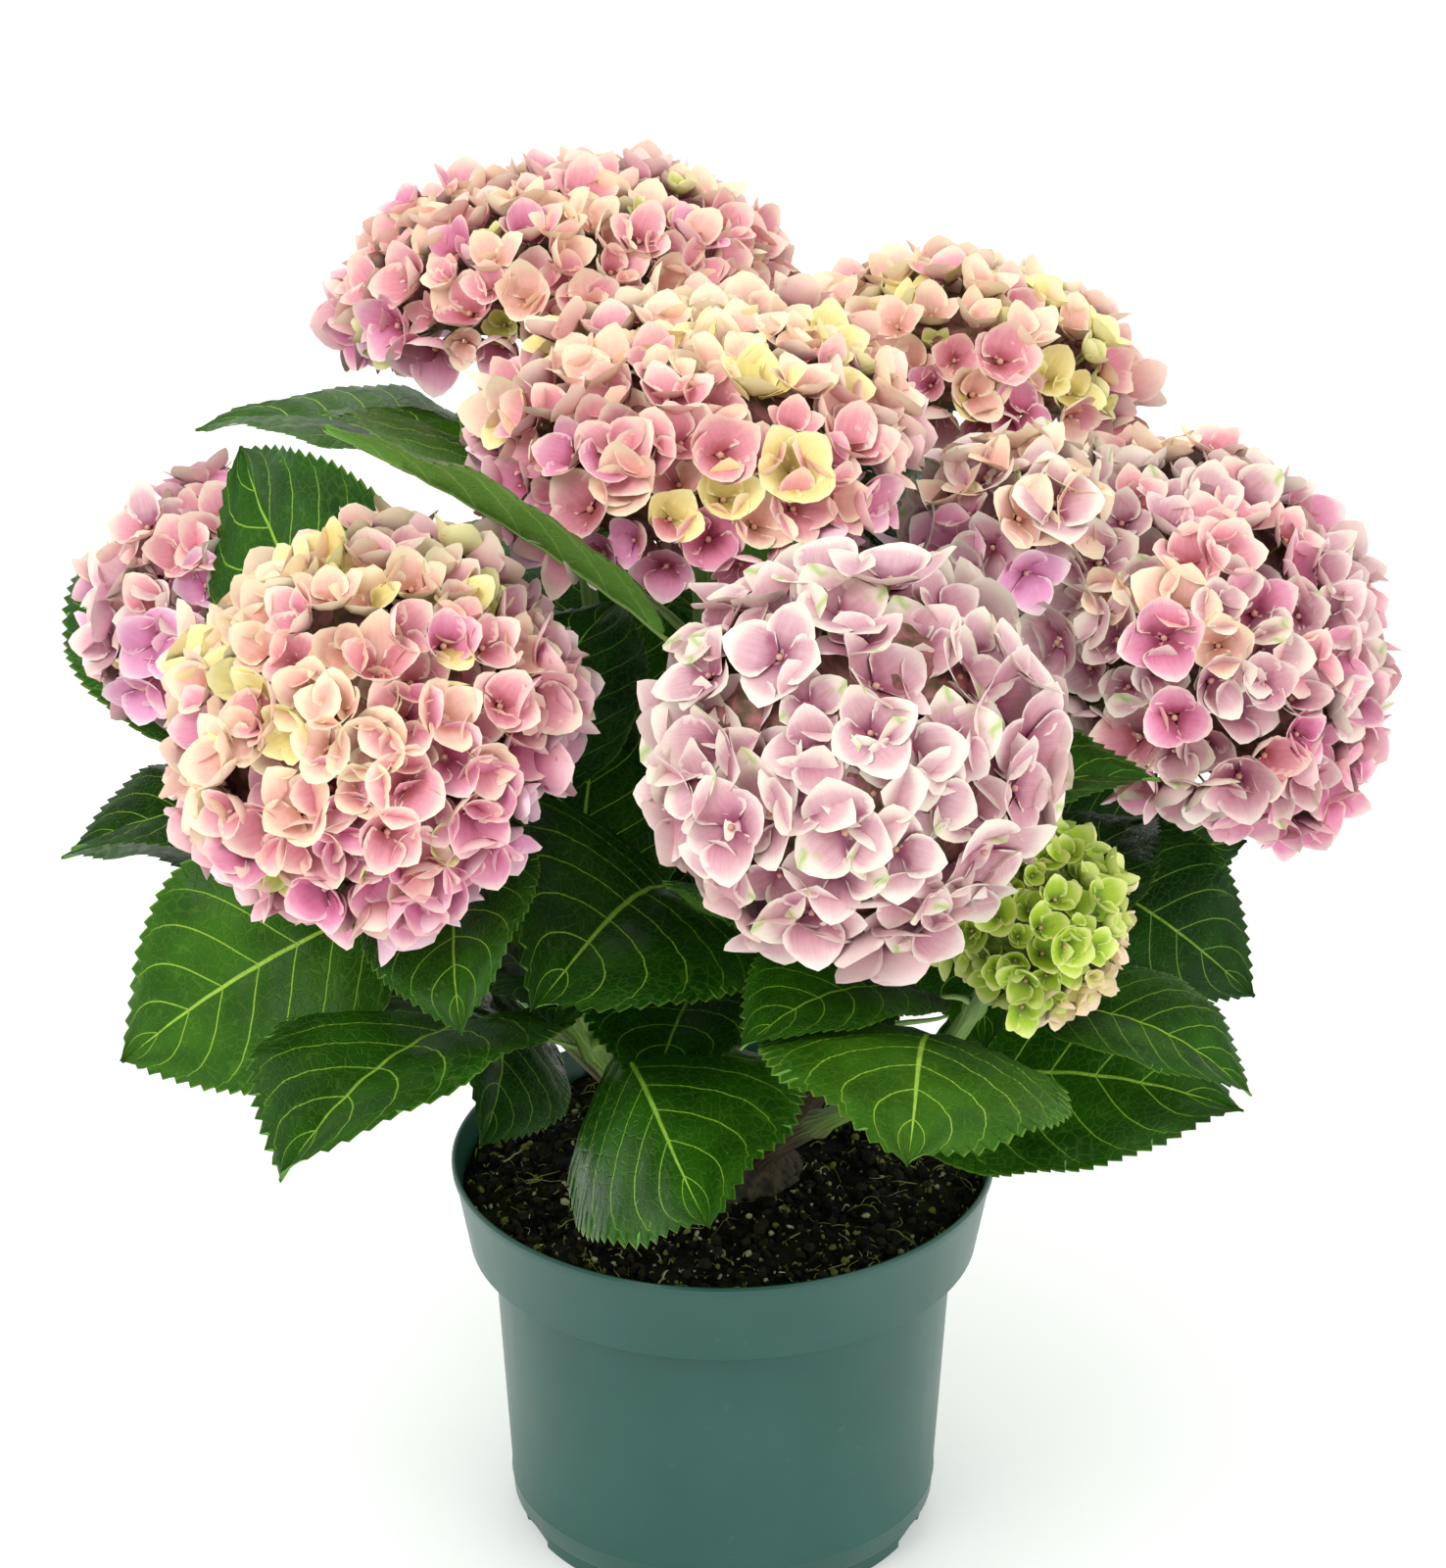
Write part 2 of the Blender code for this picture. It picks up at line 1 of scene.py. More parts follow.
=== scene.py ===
# %% [markdown]
# # A potted mophead hydrangea
#
# The real plant is a bush of leafy stems in a plastic pot, and each stem carries one round head
# of a hundred florets or more.  What reads as a flower is four broad petals round a tiny bead,
# so the lesson is mostly about repetition.  We shape one petal and one leaf well, and then let
# arrays of numbers lay out thousands of copies that all differ a little.

# %% Tools and the frame
import json
import math
from collections import namedtuple

import bpy
import numpy as np
from mathutils import Matrix, Vector, noise
from mathutils.geometry import interpolate_bezier

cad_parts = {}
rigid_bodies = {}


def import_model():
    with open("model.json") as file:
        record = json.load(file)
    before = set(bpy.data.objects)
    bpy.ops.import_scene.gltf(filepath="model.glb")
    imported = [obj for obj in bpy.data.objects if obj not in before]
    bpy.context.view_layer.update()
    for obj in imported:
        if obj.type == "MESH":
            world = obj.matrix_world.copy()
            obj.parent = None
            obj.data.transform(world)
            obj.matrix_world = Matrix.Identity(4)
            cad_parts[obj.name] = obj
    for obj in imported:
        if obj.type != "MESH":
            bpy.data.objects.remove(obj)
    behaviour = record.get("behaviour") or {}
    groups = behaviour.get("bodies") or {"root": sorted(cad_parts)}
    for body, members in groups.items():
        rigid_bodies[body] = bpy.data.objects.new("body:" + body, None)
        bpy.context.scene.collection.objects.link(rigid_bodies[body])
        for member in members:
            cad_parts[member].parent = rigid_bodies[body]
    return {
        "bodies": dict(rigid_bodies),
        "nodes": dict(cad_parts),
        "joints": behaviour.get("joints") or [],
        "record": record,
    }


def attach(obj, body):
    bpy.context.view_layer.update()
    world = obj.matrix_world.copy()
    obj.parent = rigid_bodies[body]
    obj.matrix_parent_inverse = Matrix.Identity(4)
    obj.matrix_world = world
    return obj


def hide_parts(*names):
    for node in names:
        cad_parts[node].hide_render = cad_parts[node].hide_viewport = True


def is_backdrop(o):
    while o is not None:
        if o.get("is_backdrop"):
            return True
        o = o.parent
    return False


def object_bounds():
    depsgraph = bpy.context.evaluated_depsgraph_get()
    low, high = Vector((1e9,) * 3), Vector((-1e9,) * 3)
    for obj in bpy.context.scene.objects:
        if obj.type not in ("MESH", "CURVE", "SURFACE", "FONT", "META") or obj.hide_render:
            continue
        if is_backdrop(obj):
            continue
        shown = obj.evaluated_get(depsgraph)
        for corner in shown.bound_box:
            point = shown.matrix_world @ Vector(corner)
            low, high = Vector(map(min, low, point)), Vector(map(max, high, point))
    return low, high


for leftover in list(bpy.data.objects):
    bpy.data.objects.remove(leftover)
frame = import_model()
solid_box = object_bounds()
chance = np.random.default_rng(7)
print("frame nodes:", len(frame["nodes"]))

# %% [markdown]
# ## The plan of the plant
#
# Every stem is one row of a table: where it starts on the crown, where its head sits and how it
# leans, and each leaf's heading, rise, length, roll and fold.  Stems, leaves and heads are all
# drawn from these rows, so they always meet.

# %% The plan
Bloom = namedtuple("Bloom", "centre radius dome lean heading")
Leaf = namedtuple("Leaf", "heading rise length roll fold", defaults=(0, 10))
Pair = namedtuple("Pair", "along outer inner")
Shoot = namedtuple("Shoot", "name slot bloom pairs")

SHOOTS = (
    Shoot("right", 0, Bloom((0.153, -0.030, 0.347), 0.073, 0.80, 45, -25), (
        Pair(0.12, Leaf(18, -14, 0.095), Leaf(155, 0, 0.065)),
        Pair(0.28, Leaf(60, 5, 0.095), Leaf(-50, 15, 0.080)),
        Pair(0.52, Leaf(0, 7, 0.075, 74), Leaf(-90, -10, 0.080)),
        Pair(0.63, Leaf(-25, -25, 0.079, 45), Leaf(65, 40, 0.085)))),
    Shoot("back_right", 1, Bloom((0.078, 0.080, 0.397), 0.065, 0.64, 14, 60), (
        Pair(0.15, Leaf(30, -4, 0.120), Leaf(-90, -10, 0.070)),
        Pair(0.30, Leaf(80, 15, 0.110), Leaf(-10, 10, 0.085)),
        Pair(0.45, Leaf(10, 5, 0.115), Leaf(-170, 40, 0.090)),
        Pair(0.72, Leaf(70, 0, 0.110), Leaf(-75, 20, 0.090)))),
    Shoot("back", 2, Bloom((0.010, 0.190, 0.315), 0.066, 0.80, 50, 90), (
        Pair(0.20, Leaf(105, -6, 0.125), Leaf(-80, 40, 0.080)),
        Pair(0.34, Leaf(60, -5, 0.115), Leaf(155, 20, 0.090)),
        Pair(0.50, Leaf(30, 0, 0.120), Leaf(155, 20, 0.090)),
        Pair(0.75, Leaf(145, -20, 0.110), Leaf(-40, 60, 0.090)))),
    Shoot("back_left", 3, Bloom((-0.055, 0.110, 0.416), 0.079, 0.60, 12, 110), (
        Pair(0.20, Leaf(140, -4, 0.125), Leaf(-40, 60, 0.080)),
        Pair(0.33, Leaf(165, -5, 0.115), Leaf(95, 30, 0.090)),
        Pair(0.50, Leaf(125, 0, 0.120), Leaf(-135, 10, 0.090)),
        Pair(0.79, Leaf(166, 7, 0.115, 8), Leaf(0, 10, 0.090)))),
    Shoot("far_left", 4, Bloom((-0.168, 0.022, 0.340), 0.049, 0.85, 40, 165), (
        Pair(0.30, Leaf(174, 6, 0.121, 10), Leaf(-90, -13, 0.086, -54)),
        Pair(0.45, Leaf(120, -25, 0.105), Leaf(-120, -20, 0.080)),
        Pair(0.60, Leaf(-160, 4, 0.092), Leaf(90, 10, 0.090)),
        Pair(0.68, Leaf(134, 12, 0.131, -23), Leaf(-75, 20, 0.070)))),
    Shoot("front_left", 5, Bloom((-0.108, -0.130, 0.361), 0.069, 0.84, 48, -118), (
        Pair(0.20, Leaf(-76, 3, 0.136, 30, -30), Leaf(-180, 30, 0.080)),
        Pair(0.30, Leaf(-121, 0, 0.132, 11), Leaf(80, 50, 0.090)),
        Pair(0.69, Leaf(-177, -32, 0.109, -53), Leaf(65, 30, 0.090)),
        Pair(0.88, Leaf(-87, -20, 0.080, 27), Leaf(129, 32, 0.120, -70)))),
    Shoot("front_right", 6, Bloom((0.039, -0.170, 0.371), 0.070, 0.80, 50, -85), (
        Pair(0.20, None, Leaf(55, 60, 0.080)),
        Pair(0.45, Leaf(-105, 30, 0.085), Leaf(60, 20, 0.090)),
        Pair(0.68, Leaf(-98, 8, 0.070, 3), Leaf(-10, 20, 0.095)))),
    Shoot("young", 7, Bloom((0.094, -0.151, 0.308), 0.0345, 0.72, 35, -60), (
        Pair(0.07, Leaf(-14, 4, 0.116, 26), None),
        Pair(0.65, Leaf(-97, 10, 0.128, -9, -8), Leaf(45, 20, 0.090)),
        Pair(0.85, Leaf(-25, -12, 0.075), Leaf(-140, 5, 0.080)))),
    Shoot("middle", None, Bloom((-0.009, -0.050, 0.424), 0.072, 0.58, 12, -100), (
        Pair(0.12, Leaf(20, 30, 0.080), Leaf(-10, 40, 0.080)),
        Pair(0.36, Leaf(-111, 7, 0.128, -30), Leaf(45, 57, 0.095)),
        Pair(0.81, Leaf(145, 12, 0.132, 19, 5), Leaf(-20, 10, 0.085)))),
)
print("stems in the plan:", len(SHOOTS))

# %% [markdown]
# The sizes below are those of the solid model: the pot's outline, the soil's height and the
# rules that give a stem its path and a leaf its place.

# %% Sizes
GAP = 0.0003
POT_RIM_RADIUS = 0.095
POT_HEIGHT = 0.140
BAND_HEIGHT = 0.032
BAND_LOW_RADIUS = 0.0890
BODY_TOP_RADIUS = 0.0808
BODY_LOW_RADIUS = 0.0750
FOOT_RADIUS = 0.0720
FOOT_HEIGHT = 0.007
POT_WALL = 0.0018
SOIL_EDGE_DROP = 0.011
SOIL_MOUND = 0.005
SOIL_FLAT_RADIUS = 0.031
CROWN_HEIGHT = 0.010
FOOT_RING = 0.0165
RING_SLOTS = 8
STEM_RADIUS = 0.0046
CUT_RADIUS = 0.0039
NECK_RADIUS = 0.0027
STEM_SPREAD = 0.50
STEM_LIFT = 0.30
STEM_AIM = 0.22
STEM_SETTLE = 0.12
PATH_POINTS = 41
STEM_SHARE = 0.14
LEAF_WIDTH = 0.78
LEAF_WIDEST = 0.40
LEAF_BASE_POWER = 2.2
LEAF_TIP_POWER = 1.25
LEAF_DROOP = math.radians(52.0)
PETIOLE_SHARE = 0.32
PETIOLE_LIFT = 24.0
UNDERSIDE = 0.72
NECK_RUN = 0.010
SOIL_EDGE = POT_HEIGHT - SOIL_EDGE_DROP
SOIL_TOP = SOIL_EDGE + SOIL_MOUND
print("soil stands", round(SOIL_TOP, 3), "m above the floor")

# %% [markdown]
# A stem is a Bezier curve from its foot on the crown to the neck under its head.  It leaves the
# crown steeply and reaches the neck along the head's own axis.

# %% Directions and paths
def direction(heading, rise):
    """The unit vector with a heading from +X and an angle above level, in degrees."""
    flat = math.cos(math.radians(rise))
    turn = math.radians(heading)
    return Vector((flat * math.cos(turn), flat * math.sin(turn), math.sin(math.radians(rise))))


def axis_of(bloom):
    return direction(bloom.heading, 90.0 - bloom.lean)


def neck_of(bloom):
    depth = bloom.radius * bloom.dome * UNDERSIDE + NECK_RUN
    return Vector(bloom.centre) - axis_of(bloom) * depth


def foot_of(shoot):
    height = SOIL_TOP + GAP + CROWN_HEIGHT + GAP
    if shoot.slot is None:
        return Vector((0.0, 0.0, height))
    turn = shoot.slot * math.tau / RING_SLOTS
    return Vector((FOOT_RING * math.cos(turn), FOOT_RING * math.sin(turn), height))


def stem_path(shoot):
    """Points from the foot on the crown to the neck under the flower head."""
    foot = foot_of(shoot)
    neck = neck_of(shoot.bloom)
    reach = (neck - foot).length
    outward = Vector((neck.x - foot.x, neck.y - foot.y, 0.0))
    upward = Vector((0.0, 0.0, reach))
    rising = foot + outward * STEM_SPREAD + upward * STEM_LIFT
    arriving = neck - axis_of(shoot.bloom) * reach * STEM_AIM - upward * STEM_SETTLE
    return interpolate_bezier(foot, rising, arriving, neck, PATH_POINTS)


def place_on(path, share):
    """A point at a share of the path's point count."""
    spot = share * (len(path) - 1)
    index = min(int(spot), len(path) - 2)
    return path[index].lerp(path[index + 1], spot - index)


def leaves_of(shoot):
    """Every leaf on a shoot, with its share of the whole path."""
    for pair in shoot.pairs:
        along = STEM_SHARE + (1.0 - STEM_SHARE) * pair.along
        for leaf in (pair.outer, pair.inner):
            if leaf:
                yield along, leaf


PATHS = {shoot.name: stem_path(shoot) for shoot in SHOOTS}
print("longest reach", round(max((path[-1] - path[0]).length for path in PATHS.values()), 3), "m")

# %% [markdown]
# ## Two ways to make a mesh
#
# The pot, the crown and a bead are modelled as by hand, with Blender's operators.  A petal or a
# leaf is different: one is shaped as a small grid, and its thousands of copies, each bent its own
# way, are written straight into one mesh.

# %% Operators on a clean selection
def deselect():
    bpy.ops.object.select_all(action="DESELECT")


def show(thing):
    """Put a new object into the scene."""
    bpy.context.scene.collection.objects.link(thing)


def take(thing):
    """Make one object the only selected and active one."""
    deselect()
    thing.select_set(True)
    bpy.context.view_layer.objects.active = thing


def grab():
    """The object an operator has just made."""
    return bpy.context.view_layer.objects.active


def edit(thing):
    """Open an object's mesh with everything in it selected."""
    take(thing)
    bpy.ops.object.mode_set(mode="EDIT")
    bpy.ops.mesh.select_all(action="SELECT")


def close_edit():
    bpy.ops.object.mode_set(mode="OBJECT")


def bake_modifiers(thing):
    take(thing)
    for modifier in list(thing.modifiers):
        bpy.ops.object.modifier_apply(modifier=modifier.name)


def settle(thing):
    """Move an object's place into its mesh, so the object itself sits at the origin."""
    take(thing)
    bpy.ops.object.transform_apply(location=True, rotation=True, scale=True)


def smooth(thing, angle):
    """Shade smooth, but keep edges sharper than an angle in degrees."""
    take(thing)
    bpy.ops.object.shade_smooth_by_angle(angle=math.radians(angle))

# %% [markdown]
# A `Heap` collects copies as arrays.  Each face carries two UV maps: "Shape", which the patterns
# read, and "OFBake", which gives every material its own cell of a square atlas.

# %% A heap of copies
CELL_MARGIN = 0.04


class Heap:
    """Collects copies of small meshes and turns them into one object."""

    def __init__(self, name):
        self.name = name
        self.points, self.corners, self.sizes = [], [], []
        self.shape, self.atlas, self.slots = [], [], []
        self.total = 0

    def add(self, points, faces, shape, atlas, slots):
        """points: copies x corners x 3; faces: faces x sides; shape and atlas: UVs per corner."""
        copies, per_copy = points.shape[:2]
        count, sides = faces.shape
        starts = self.total + np.arange(copies)[:, None, None] * per_copy
        self.points.append(points.reshape(-1, 3))
        self.corners.append((faces[None] + starts).ravel())
        self.sizes.append(np.full(copies * count, sides))
        form = (copies, count, sides, 2)
        self.shape.append(np.broadcast_to(shape, form).reshape(-1, 2))
        self.atlas.append(np.broadcast_to(atlas, form).reshape(-1, 2))
        self.slots.append(np.repeat(np.broadcast_to(slots, copies), count))
        self.total += copies * per_copy

    def build(self, materials, angle=60.0):
        """Write the heap into a mesh, and smooth it below an angle in degrees."""
        mesh = bpy.data.meshes.new(self.name)
        points = np.concatenate(self.points)
        corners = np.concatenate(self.corners)
        sizes = np.concatenate(self.sizes)
        mesh.vertices.add(len(points))
        mesh.vertices.foreach_set("co", points.astype(np.float32).ravel())
        mesh.loops.add(len(corners))
        mesh.loops.foreach_set("vertex_index", corners.astype(np.int32))
        mesh.polygons.add(len(sizes))
        starts = np.concatenate(([0], np.cumsum(sizes)[:-1]))
        mesh.polygons.foreach_set("loop_start", starts.astype(np.int32))
        for label, rows in (("Shape", self.shape), ("OFBake", self.atlas)):
            layer = mesh.uv_layers.new(name=label)
            layer.data.foreach_set("uv", np.concatenate(rows).astype(np.float32).ravel())
        for material in materials:
            mesh.materials.append(material)
        mesh.polygons.foreach_set("material_index", np.concatenate(self.slots).astype(np.int32))
        mesh.update(calc_edges=True)
        mesh.validate()
        thing = bpy.data.objects.new(self.name, mesh)
        show(thing)
        smooth(thing, angle)
        print(self.name, "faces", len(mesh.polygons), "corners", len(mesh.vertices))
        return thing


def atlas_cell(corner_uv, cell, grid):
    """Squeeze UVs from the unit square into one cell of a square atlas."""
    place = np.stack((cell % grid, cell // grid), axis=-1)
    inside = np.clip(corner_uv, 0.0, 1.0) * (1.0 - 2.0 * CELL_MARGIN)
    return (place + CELL_MARGIN + inside) / grid

# %% [markdown]
# A petal or a leaf is a thin closed skin: a front grid and a back grid that share their rim.
# The same little function gives the faces of either, for any number of rows and columns.

# %% The faces of a thin closed skin
BACK_MOVE = 2.0


def quads(table):
    """The four corners of every cell of a grid."""
    return np.stack((table[:-1, :-1], table[:-1, 1:], table[1:, 1:], table[1:, :-1]), axis=2)


def grid_uv(rows, columns):
    across, along = np.meshgrid(np.linspace(0, 1, columns), np.linspace(0, 1, rows))
    return quads(np.stack((across, along), axis=-1)).reshape(-1, 4, 2)


def skin(rows, columns):
    """Faces and UVs of a front grid and a back grid that share the rim.

    Corners are numbered row by row on the front; the back adds only its inner corners.
    The back's UVs are the front's, moved two units to the right.
    """
    front = np.arange(rows * columns).reshape(rows, columns)
    back = front.copy()
    inner = (rows - 2) * (columns - 2)
    back[1:-1, 1:-1] = rows * columns + np.arange(inner).reshape(rows - 2, columns - 2)
    faces = [quads(table).reshape(-1, 4) for table in (front, back)]
    uv = grid_uv(rows, columns)
    return (np.concatenate((faces[0], faces[1][:, ::-1])),
            np.concatenate((uv, uv[:, ::-1] + (BACK_MOVE, 0.0))))


def skin_atlas(shape_uv, family, grid):
    """Atlas UVs: each colour family owns two cells, its front and its back."""
    back = (shape_uv[..., 0] > BACK_MOVE - 0.5).astype(int)
    local = shape_uv - np.stack((back * BACK_MOVE, back * 0.0), axis=-1)
    return atlas_cell(local, family * 2 + back, grid)

# %% [markdown]
# A tube is a ring of corners carried along a line.  Its two ends are closed by triangles, which
# count back from the last corners that the heap was given.

# %% Tubes along a line
def unit(rows):
    """Rows of numbers scaled to length one."""
    return rows / np.linalg.norm(rows, axis=1, keepdims=True)


def ring_frames(points):
    """Two unit vectors across each point of a line, carried along it without twisting."""
    way = unit(np.gradient(points, axis=0))
    side = np.cross(way[0], (0.0, 0.0, 1.0) if abs(way[0][2]) < 0.9 else (1.0, 0.0, 0.0))
    sides = []
    for step in way:
        side = side - step * side.dot(step)
        side /= np.linalg.norm(side)
        sides.append(side)
    sides = np.array(sides)
    return sides, np.cross(way, sides)


def add_tube(heap, points, radii, sides, slot=0, swell=1.0, cell=(0, 1)):
    """Add a closed tube to a heap.

    Swell multiplies the radius from ring to ring and round each ring.  Cell is the tube's
    place in the atlas and the number of cells along the atlas's side.
    """
    points = np.asarray(points, dtype=float)
    count = len(points)
    first, second = ring_frames(points)
    turns = np.linspace(0.0, math.tau, sides, endpoint=False)[:, None]
    rim = first[:, None] * np.cos(turns) + second[:, None] * np.sin(turns)
    reach = np.asarray(radii, dtype=float)[:, None] * np.ones(sides) * swell
    corners = (points[:, None] + rim * reach[..., None]).reshape(-1, 3)
    corners = np.concatenate((corners, points[:1], points[-1:]))
    table = np.arange(count * sides).reshape(count, sides)
    table = np.concatenate((table, table[:, :1]), axis=1)
    uv = grid_uv(count, sides + 1)
    place = np.array(cell[0])
    heap.add(corners[None], quads(table).reshape(-1, 4), uv, atlas_cell(uv, place, cell[1]), slot)
    hubs = np.full((2, sides), ((-2,), (-1,)))
    rings = table[[0, -1]] - len(corners)
    caps = np.concatenate((np.stack((rings[0, 1:], rings[0, :-1], hubs[0]), axis=-1),
                           np.stack((rings[1, :-1], rings[1, 1:], hubs[1]), axis=-1)))
    cap_uv = np.full((2 * sides, 3, 2), 0.5)
    cap_uv[:, :, 1] = np.repeat((0.0, 1.0), sides)[:, None]
    heap.add(np.empty((1, 0, 3)), caps, cap_uv, atlas_cell(cap_uv, place, cell[1]), slot)

# %% [markdown]
# ## Shader maths in Python
#
# A material's pattern is a formula.  `Value` wraps one socket, so that an expression such as
# `1 - abs(u) * 2` adds the Math nodes for us.

# %% Sockets as numbers
class Value:
    """One number in a node tree; arithmetic on it adds Math nodes."""

    def __init__(self, tree, socket):
        self.tree = tree
        self.socket = socket

    def math(self, operation, *others):
        node = self.tree.nodes.new("ShaderNodeMath")
        node.operation = operation
        for plug, item in zip(node.inputs, (self,) + others):
            plug_in(self.tree, plug, item)
        return Value(self.tree, node.outputs[0])

    def __add__(self, other):
        return self.math("ADD", other)

    def __mul__(self, other):
        return self.math("MULTIPLY", other)

    def __sub__(self, other):
        return self.math("SUBTRACT", other)

    def __rsub__(self, other):
        return (self * -1.0) + other

    def __pow__(self, other):
        return self.math("POWER", other)

    def __abs__(self):
        return self.math("ABSOLUTE")

    def part(self):
        return self.math("FRACT")

    def step(self, low, high):
        """0 below low and 1 above high, with a soft step between; high may be the lower one."""
        node = self.tree.nodes.new("ShaderNodeMapRange")
        node.interpolation_type = "SMOOTHSTEP"
        turned = low > high
        plug_in(self.tree, node.inputs["Value"], self)
        node.inputs["From Min"].default_value = min(low, high)
        node.inputs["From Max"].default_value = max(low, high)
        node.inputs["To Min"].default_value = 1.0 if turned else 0.0
        node.inputs["To Max"].default_value = 0.0 if turned else 1.0
        return Value(self.tree, node.outputs["Result"])


def plug_in(tree, plug, item):
    """Give a socket a link or a plain value."""
    if isinstance(item, Value):
        tree.links.new(item.socket, plug)
    elif isinstance(item, bpy.types.NodeSocket):
        tree.links.new(item, plug)
    elif isinstance(item, tuple) and len(item) == 3 and plug.type == "RGBA":
        plug.default_value = (*item, 1.0)
    else:
        plug.default_value = item

# %% [markdown]
# `Finish` is a fresh Principled material.  Its `node` method adds any kind of node, and `feed`
# links what the pattern gives to the shader.

# %% A fresh material
MIX_SOCKETS = (0, 6, 7)


class Finish:
    """A new Principled material, and the nodes that feed it."""

    def __init__(self, name, roughness=0.5, **settings):
        self.material = bpy.data.materials.new(name)
        self.material.use_nodes = True
        self.tree = self.material.node_tree
        self.shader = self.tree.nodes["Principled BSDF"]
        self.shader.inputs["Roughness"].default_value = roughness
        for label, amount in settings.items():
            self.shader.inputs[label.replace("_", " ")].default_value = amount

    def node(self, kind, settings=None, output=0, **sockets):
        """Add a node: its settings first, then the values or links of its sockets."""
        made = self.tree.nodes.new(kind)
        for label, setting in (settings or {}).items():
            setattr(made, label, setting)
        for label, item in sockets.items():
            plug_in(self.tree, made.inputs[label.replace("_", " ")], item)
        return made.outputs[output]

    def number(self, socket):
        return Value(self.tree, socket)

    def place(self):
        return self.node("ShaderNodeTexCoord", output="Object")

    def shape(self):
        """The two numbers of the piece's own UV map."""
        uv = self.node("ShaderNodeUVMap", {"uv_map": "Shape"})
        split = self.tree.nodes.new("ShaderNodeSeparateXYZ")
        self.tree.links.new(uv, split.inputs[0])
        return self.number(split.outputs["X"]), self.number(split.outputs["Y"])

    def vector(self, x, y, z=0.0):
        return self.node("ShaderNodeCombineXYZ", X=x, Y=y, Z=z)

    def two_sides(self):
        """Across and along a skin, how far out from its middle line, and 1 on its back."""
        x, y = self.shape()
        back = x.step(BACK_MOVE - 0.51, BACK_MOVE - 0.49)
        x = x - back * BACK_MOVE
        return x, y, abs(x * 2.0 - 1.0), back

    def noise(self, vector, scale, detail=2.0):
        return self.number(self.node("ShaderNodeTexNoise", Vector=vector, Scale=scale,
                                     Detail=detail))

    def mix(self, share, low, high):
        """A colour between low and high."""
        made = self.tree.nodes.new("ShaderNodeMix")
        made.data_type = "RGBA"
        for number, item in zip(MIX_SOCKETS, (share, low, high)):
            plug_in(self.tree, made.inputs[number], item)
        return made.outputs[2]

    def feed(self, colour, roughness=None, height=None, depth=0.001, strength=1.0):
        """Link the finished colour, roughness and height to the shader."""
        plug_in(self.tree, self.shader.inputs["Base Color"], colour)
        if roughness is not None:
            plug_in(self.tree, self.shader.inputs["Roughness"], roughness)
        if height is not None:
            bump = self.node("ShaderNodeBump", Height=height, Distance=depth, Strength=strength)
            plug_in(self.tree, self.shader.inputs["Normal"], bump)

# %% [markdown]
# A piece made by hand wears one material.  Crumbs and fibres have several plain ones.

# %% Materials onto objects
def dress(thing, finish):
    """Give an object one material."""
    thing.data.materials.clear()
    thing.data.materials.append(finish.material)


def plain_finishes(name, colours, **settings):
    """One material without a pattern for each colour."""
    return [Finish(f"{name}_{tone}", Base_Color=(*colour, 1.0), **settings).material
            for tone, colour in enumerate(colours)]

# %% [markdown]
# ## The pot
#
# A grower's pot is blow-moulded: a thin tapered wall, a deep collar that nests on the next pot,
# and a foot with notches that let water out.  We start from one disc, the underside, and extrude
# it upward ring by ring.  Each ring is scaled to its own radius, over the lip and down again
# inside, so the wall is closed from the first move to the last.

# %% The pot's wall, from one disc
POT_SEGMENTS = 112
POT_LIP = 0.0013
MOULD_RING_HEIGHT = 0.0150
MOULD_RING = 0.0003
NOTCHES = 8
NOTCH_SIZE = (0.0046, 0.020, 0.0085)
NOTCH_ROUNDING = 0.0022
BODY_SLOPE = (BODY_TOP_RADIUS - BODY_LOW_RADIUS) / (POT_HEIGHT - BAND_HEIGHT - FOOT_HEIGHT)
BAND_LOW = POT_HEIGHT - BAND_HEIGHT


def body_radius(height):
    """The body's outer radius at a height between the foot and the collar."""
    return BODY_LOW_RADIUS + BODY_SLOPE * (height - FOOT_HEIGHT)


OUTSIDE = [
    (FOOT_HEIGHT - 0.0012, FOOT_RADIUS + 0.0002),
    (FOOT_HEIGHT, BODY_LOW_RADIUS - 0.0008),
    (FOOT_HEIGHT + 0.0012, BODY_LOW_RADIUS),
    (MOULD_RING_HEIGHT - 0.0006, body_radius(MOULD_RING_HEIGHT)),
    (MOULD_RING_HEIGHT, body_radius(MOULD_RING_HEIGHT) + MOULD_RING),
    (MOULD_RING_HEIGHT + 0.0006, body_radius(MOULD_RING_HEIGHT)),
    (BAND_LOW * 0.5, body_radius(BAND_LOW * 0.5)),
    (BAND_LOW - 0.0012, body_radius(BAND_LOW - 0.0012)),
    (BAND_LOW - 0.0003, BODY_TOP_RADIUS + 0.0006),
    (BAND_LOW, BAND_LOW_RADIUS - 0.0008),
    (BAND_LOW + 0.0008, BAND_LOW_RADIUS),
    (POT_HEIGHT - 0.0050, POT_RIM_RADIUS - 0.0012),
    (POT_HEIGHT - 0.0030, POT_RIM_RADIUS - 0.0002),
    (POT_HEIGHT - 0.0008, POT_RIM_RADIUS),
    (POT_HEIGHT, POT_RIM_RADIUS - 0.0006),
]
INSIDE = [
    (POT_HEIGHT, POT_RIM_RADIUS - POT_LIP),
    (POT_HEIGHT - 0.0008, POT_RIM_RADIUS - POT_WALL),
    (BAND_LOW + 0.0040, BAND_LOW_RADIUS - POT_WALL),
    (BAND_LOW - 0.0040, BODY_TOP_RADIUS - POT_WALL),
    (FOOT_HEIGHT + 0.0100, BODY_LOW_RADIUS - POT_WALL),
    (FOOT_HEIGHT + POT_WALL, FOOT_RADIUS - 0.0100),
]


print("pot rings:", len(OUTSIDE) + len(INSIDE))

# %% [markdown]
# The same move, extrude and then scale, draws up the pot here and the soil and the crown later.

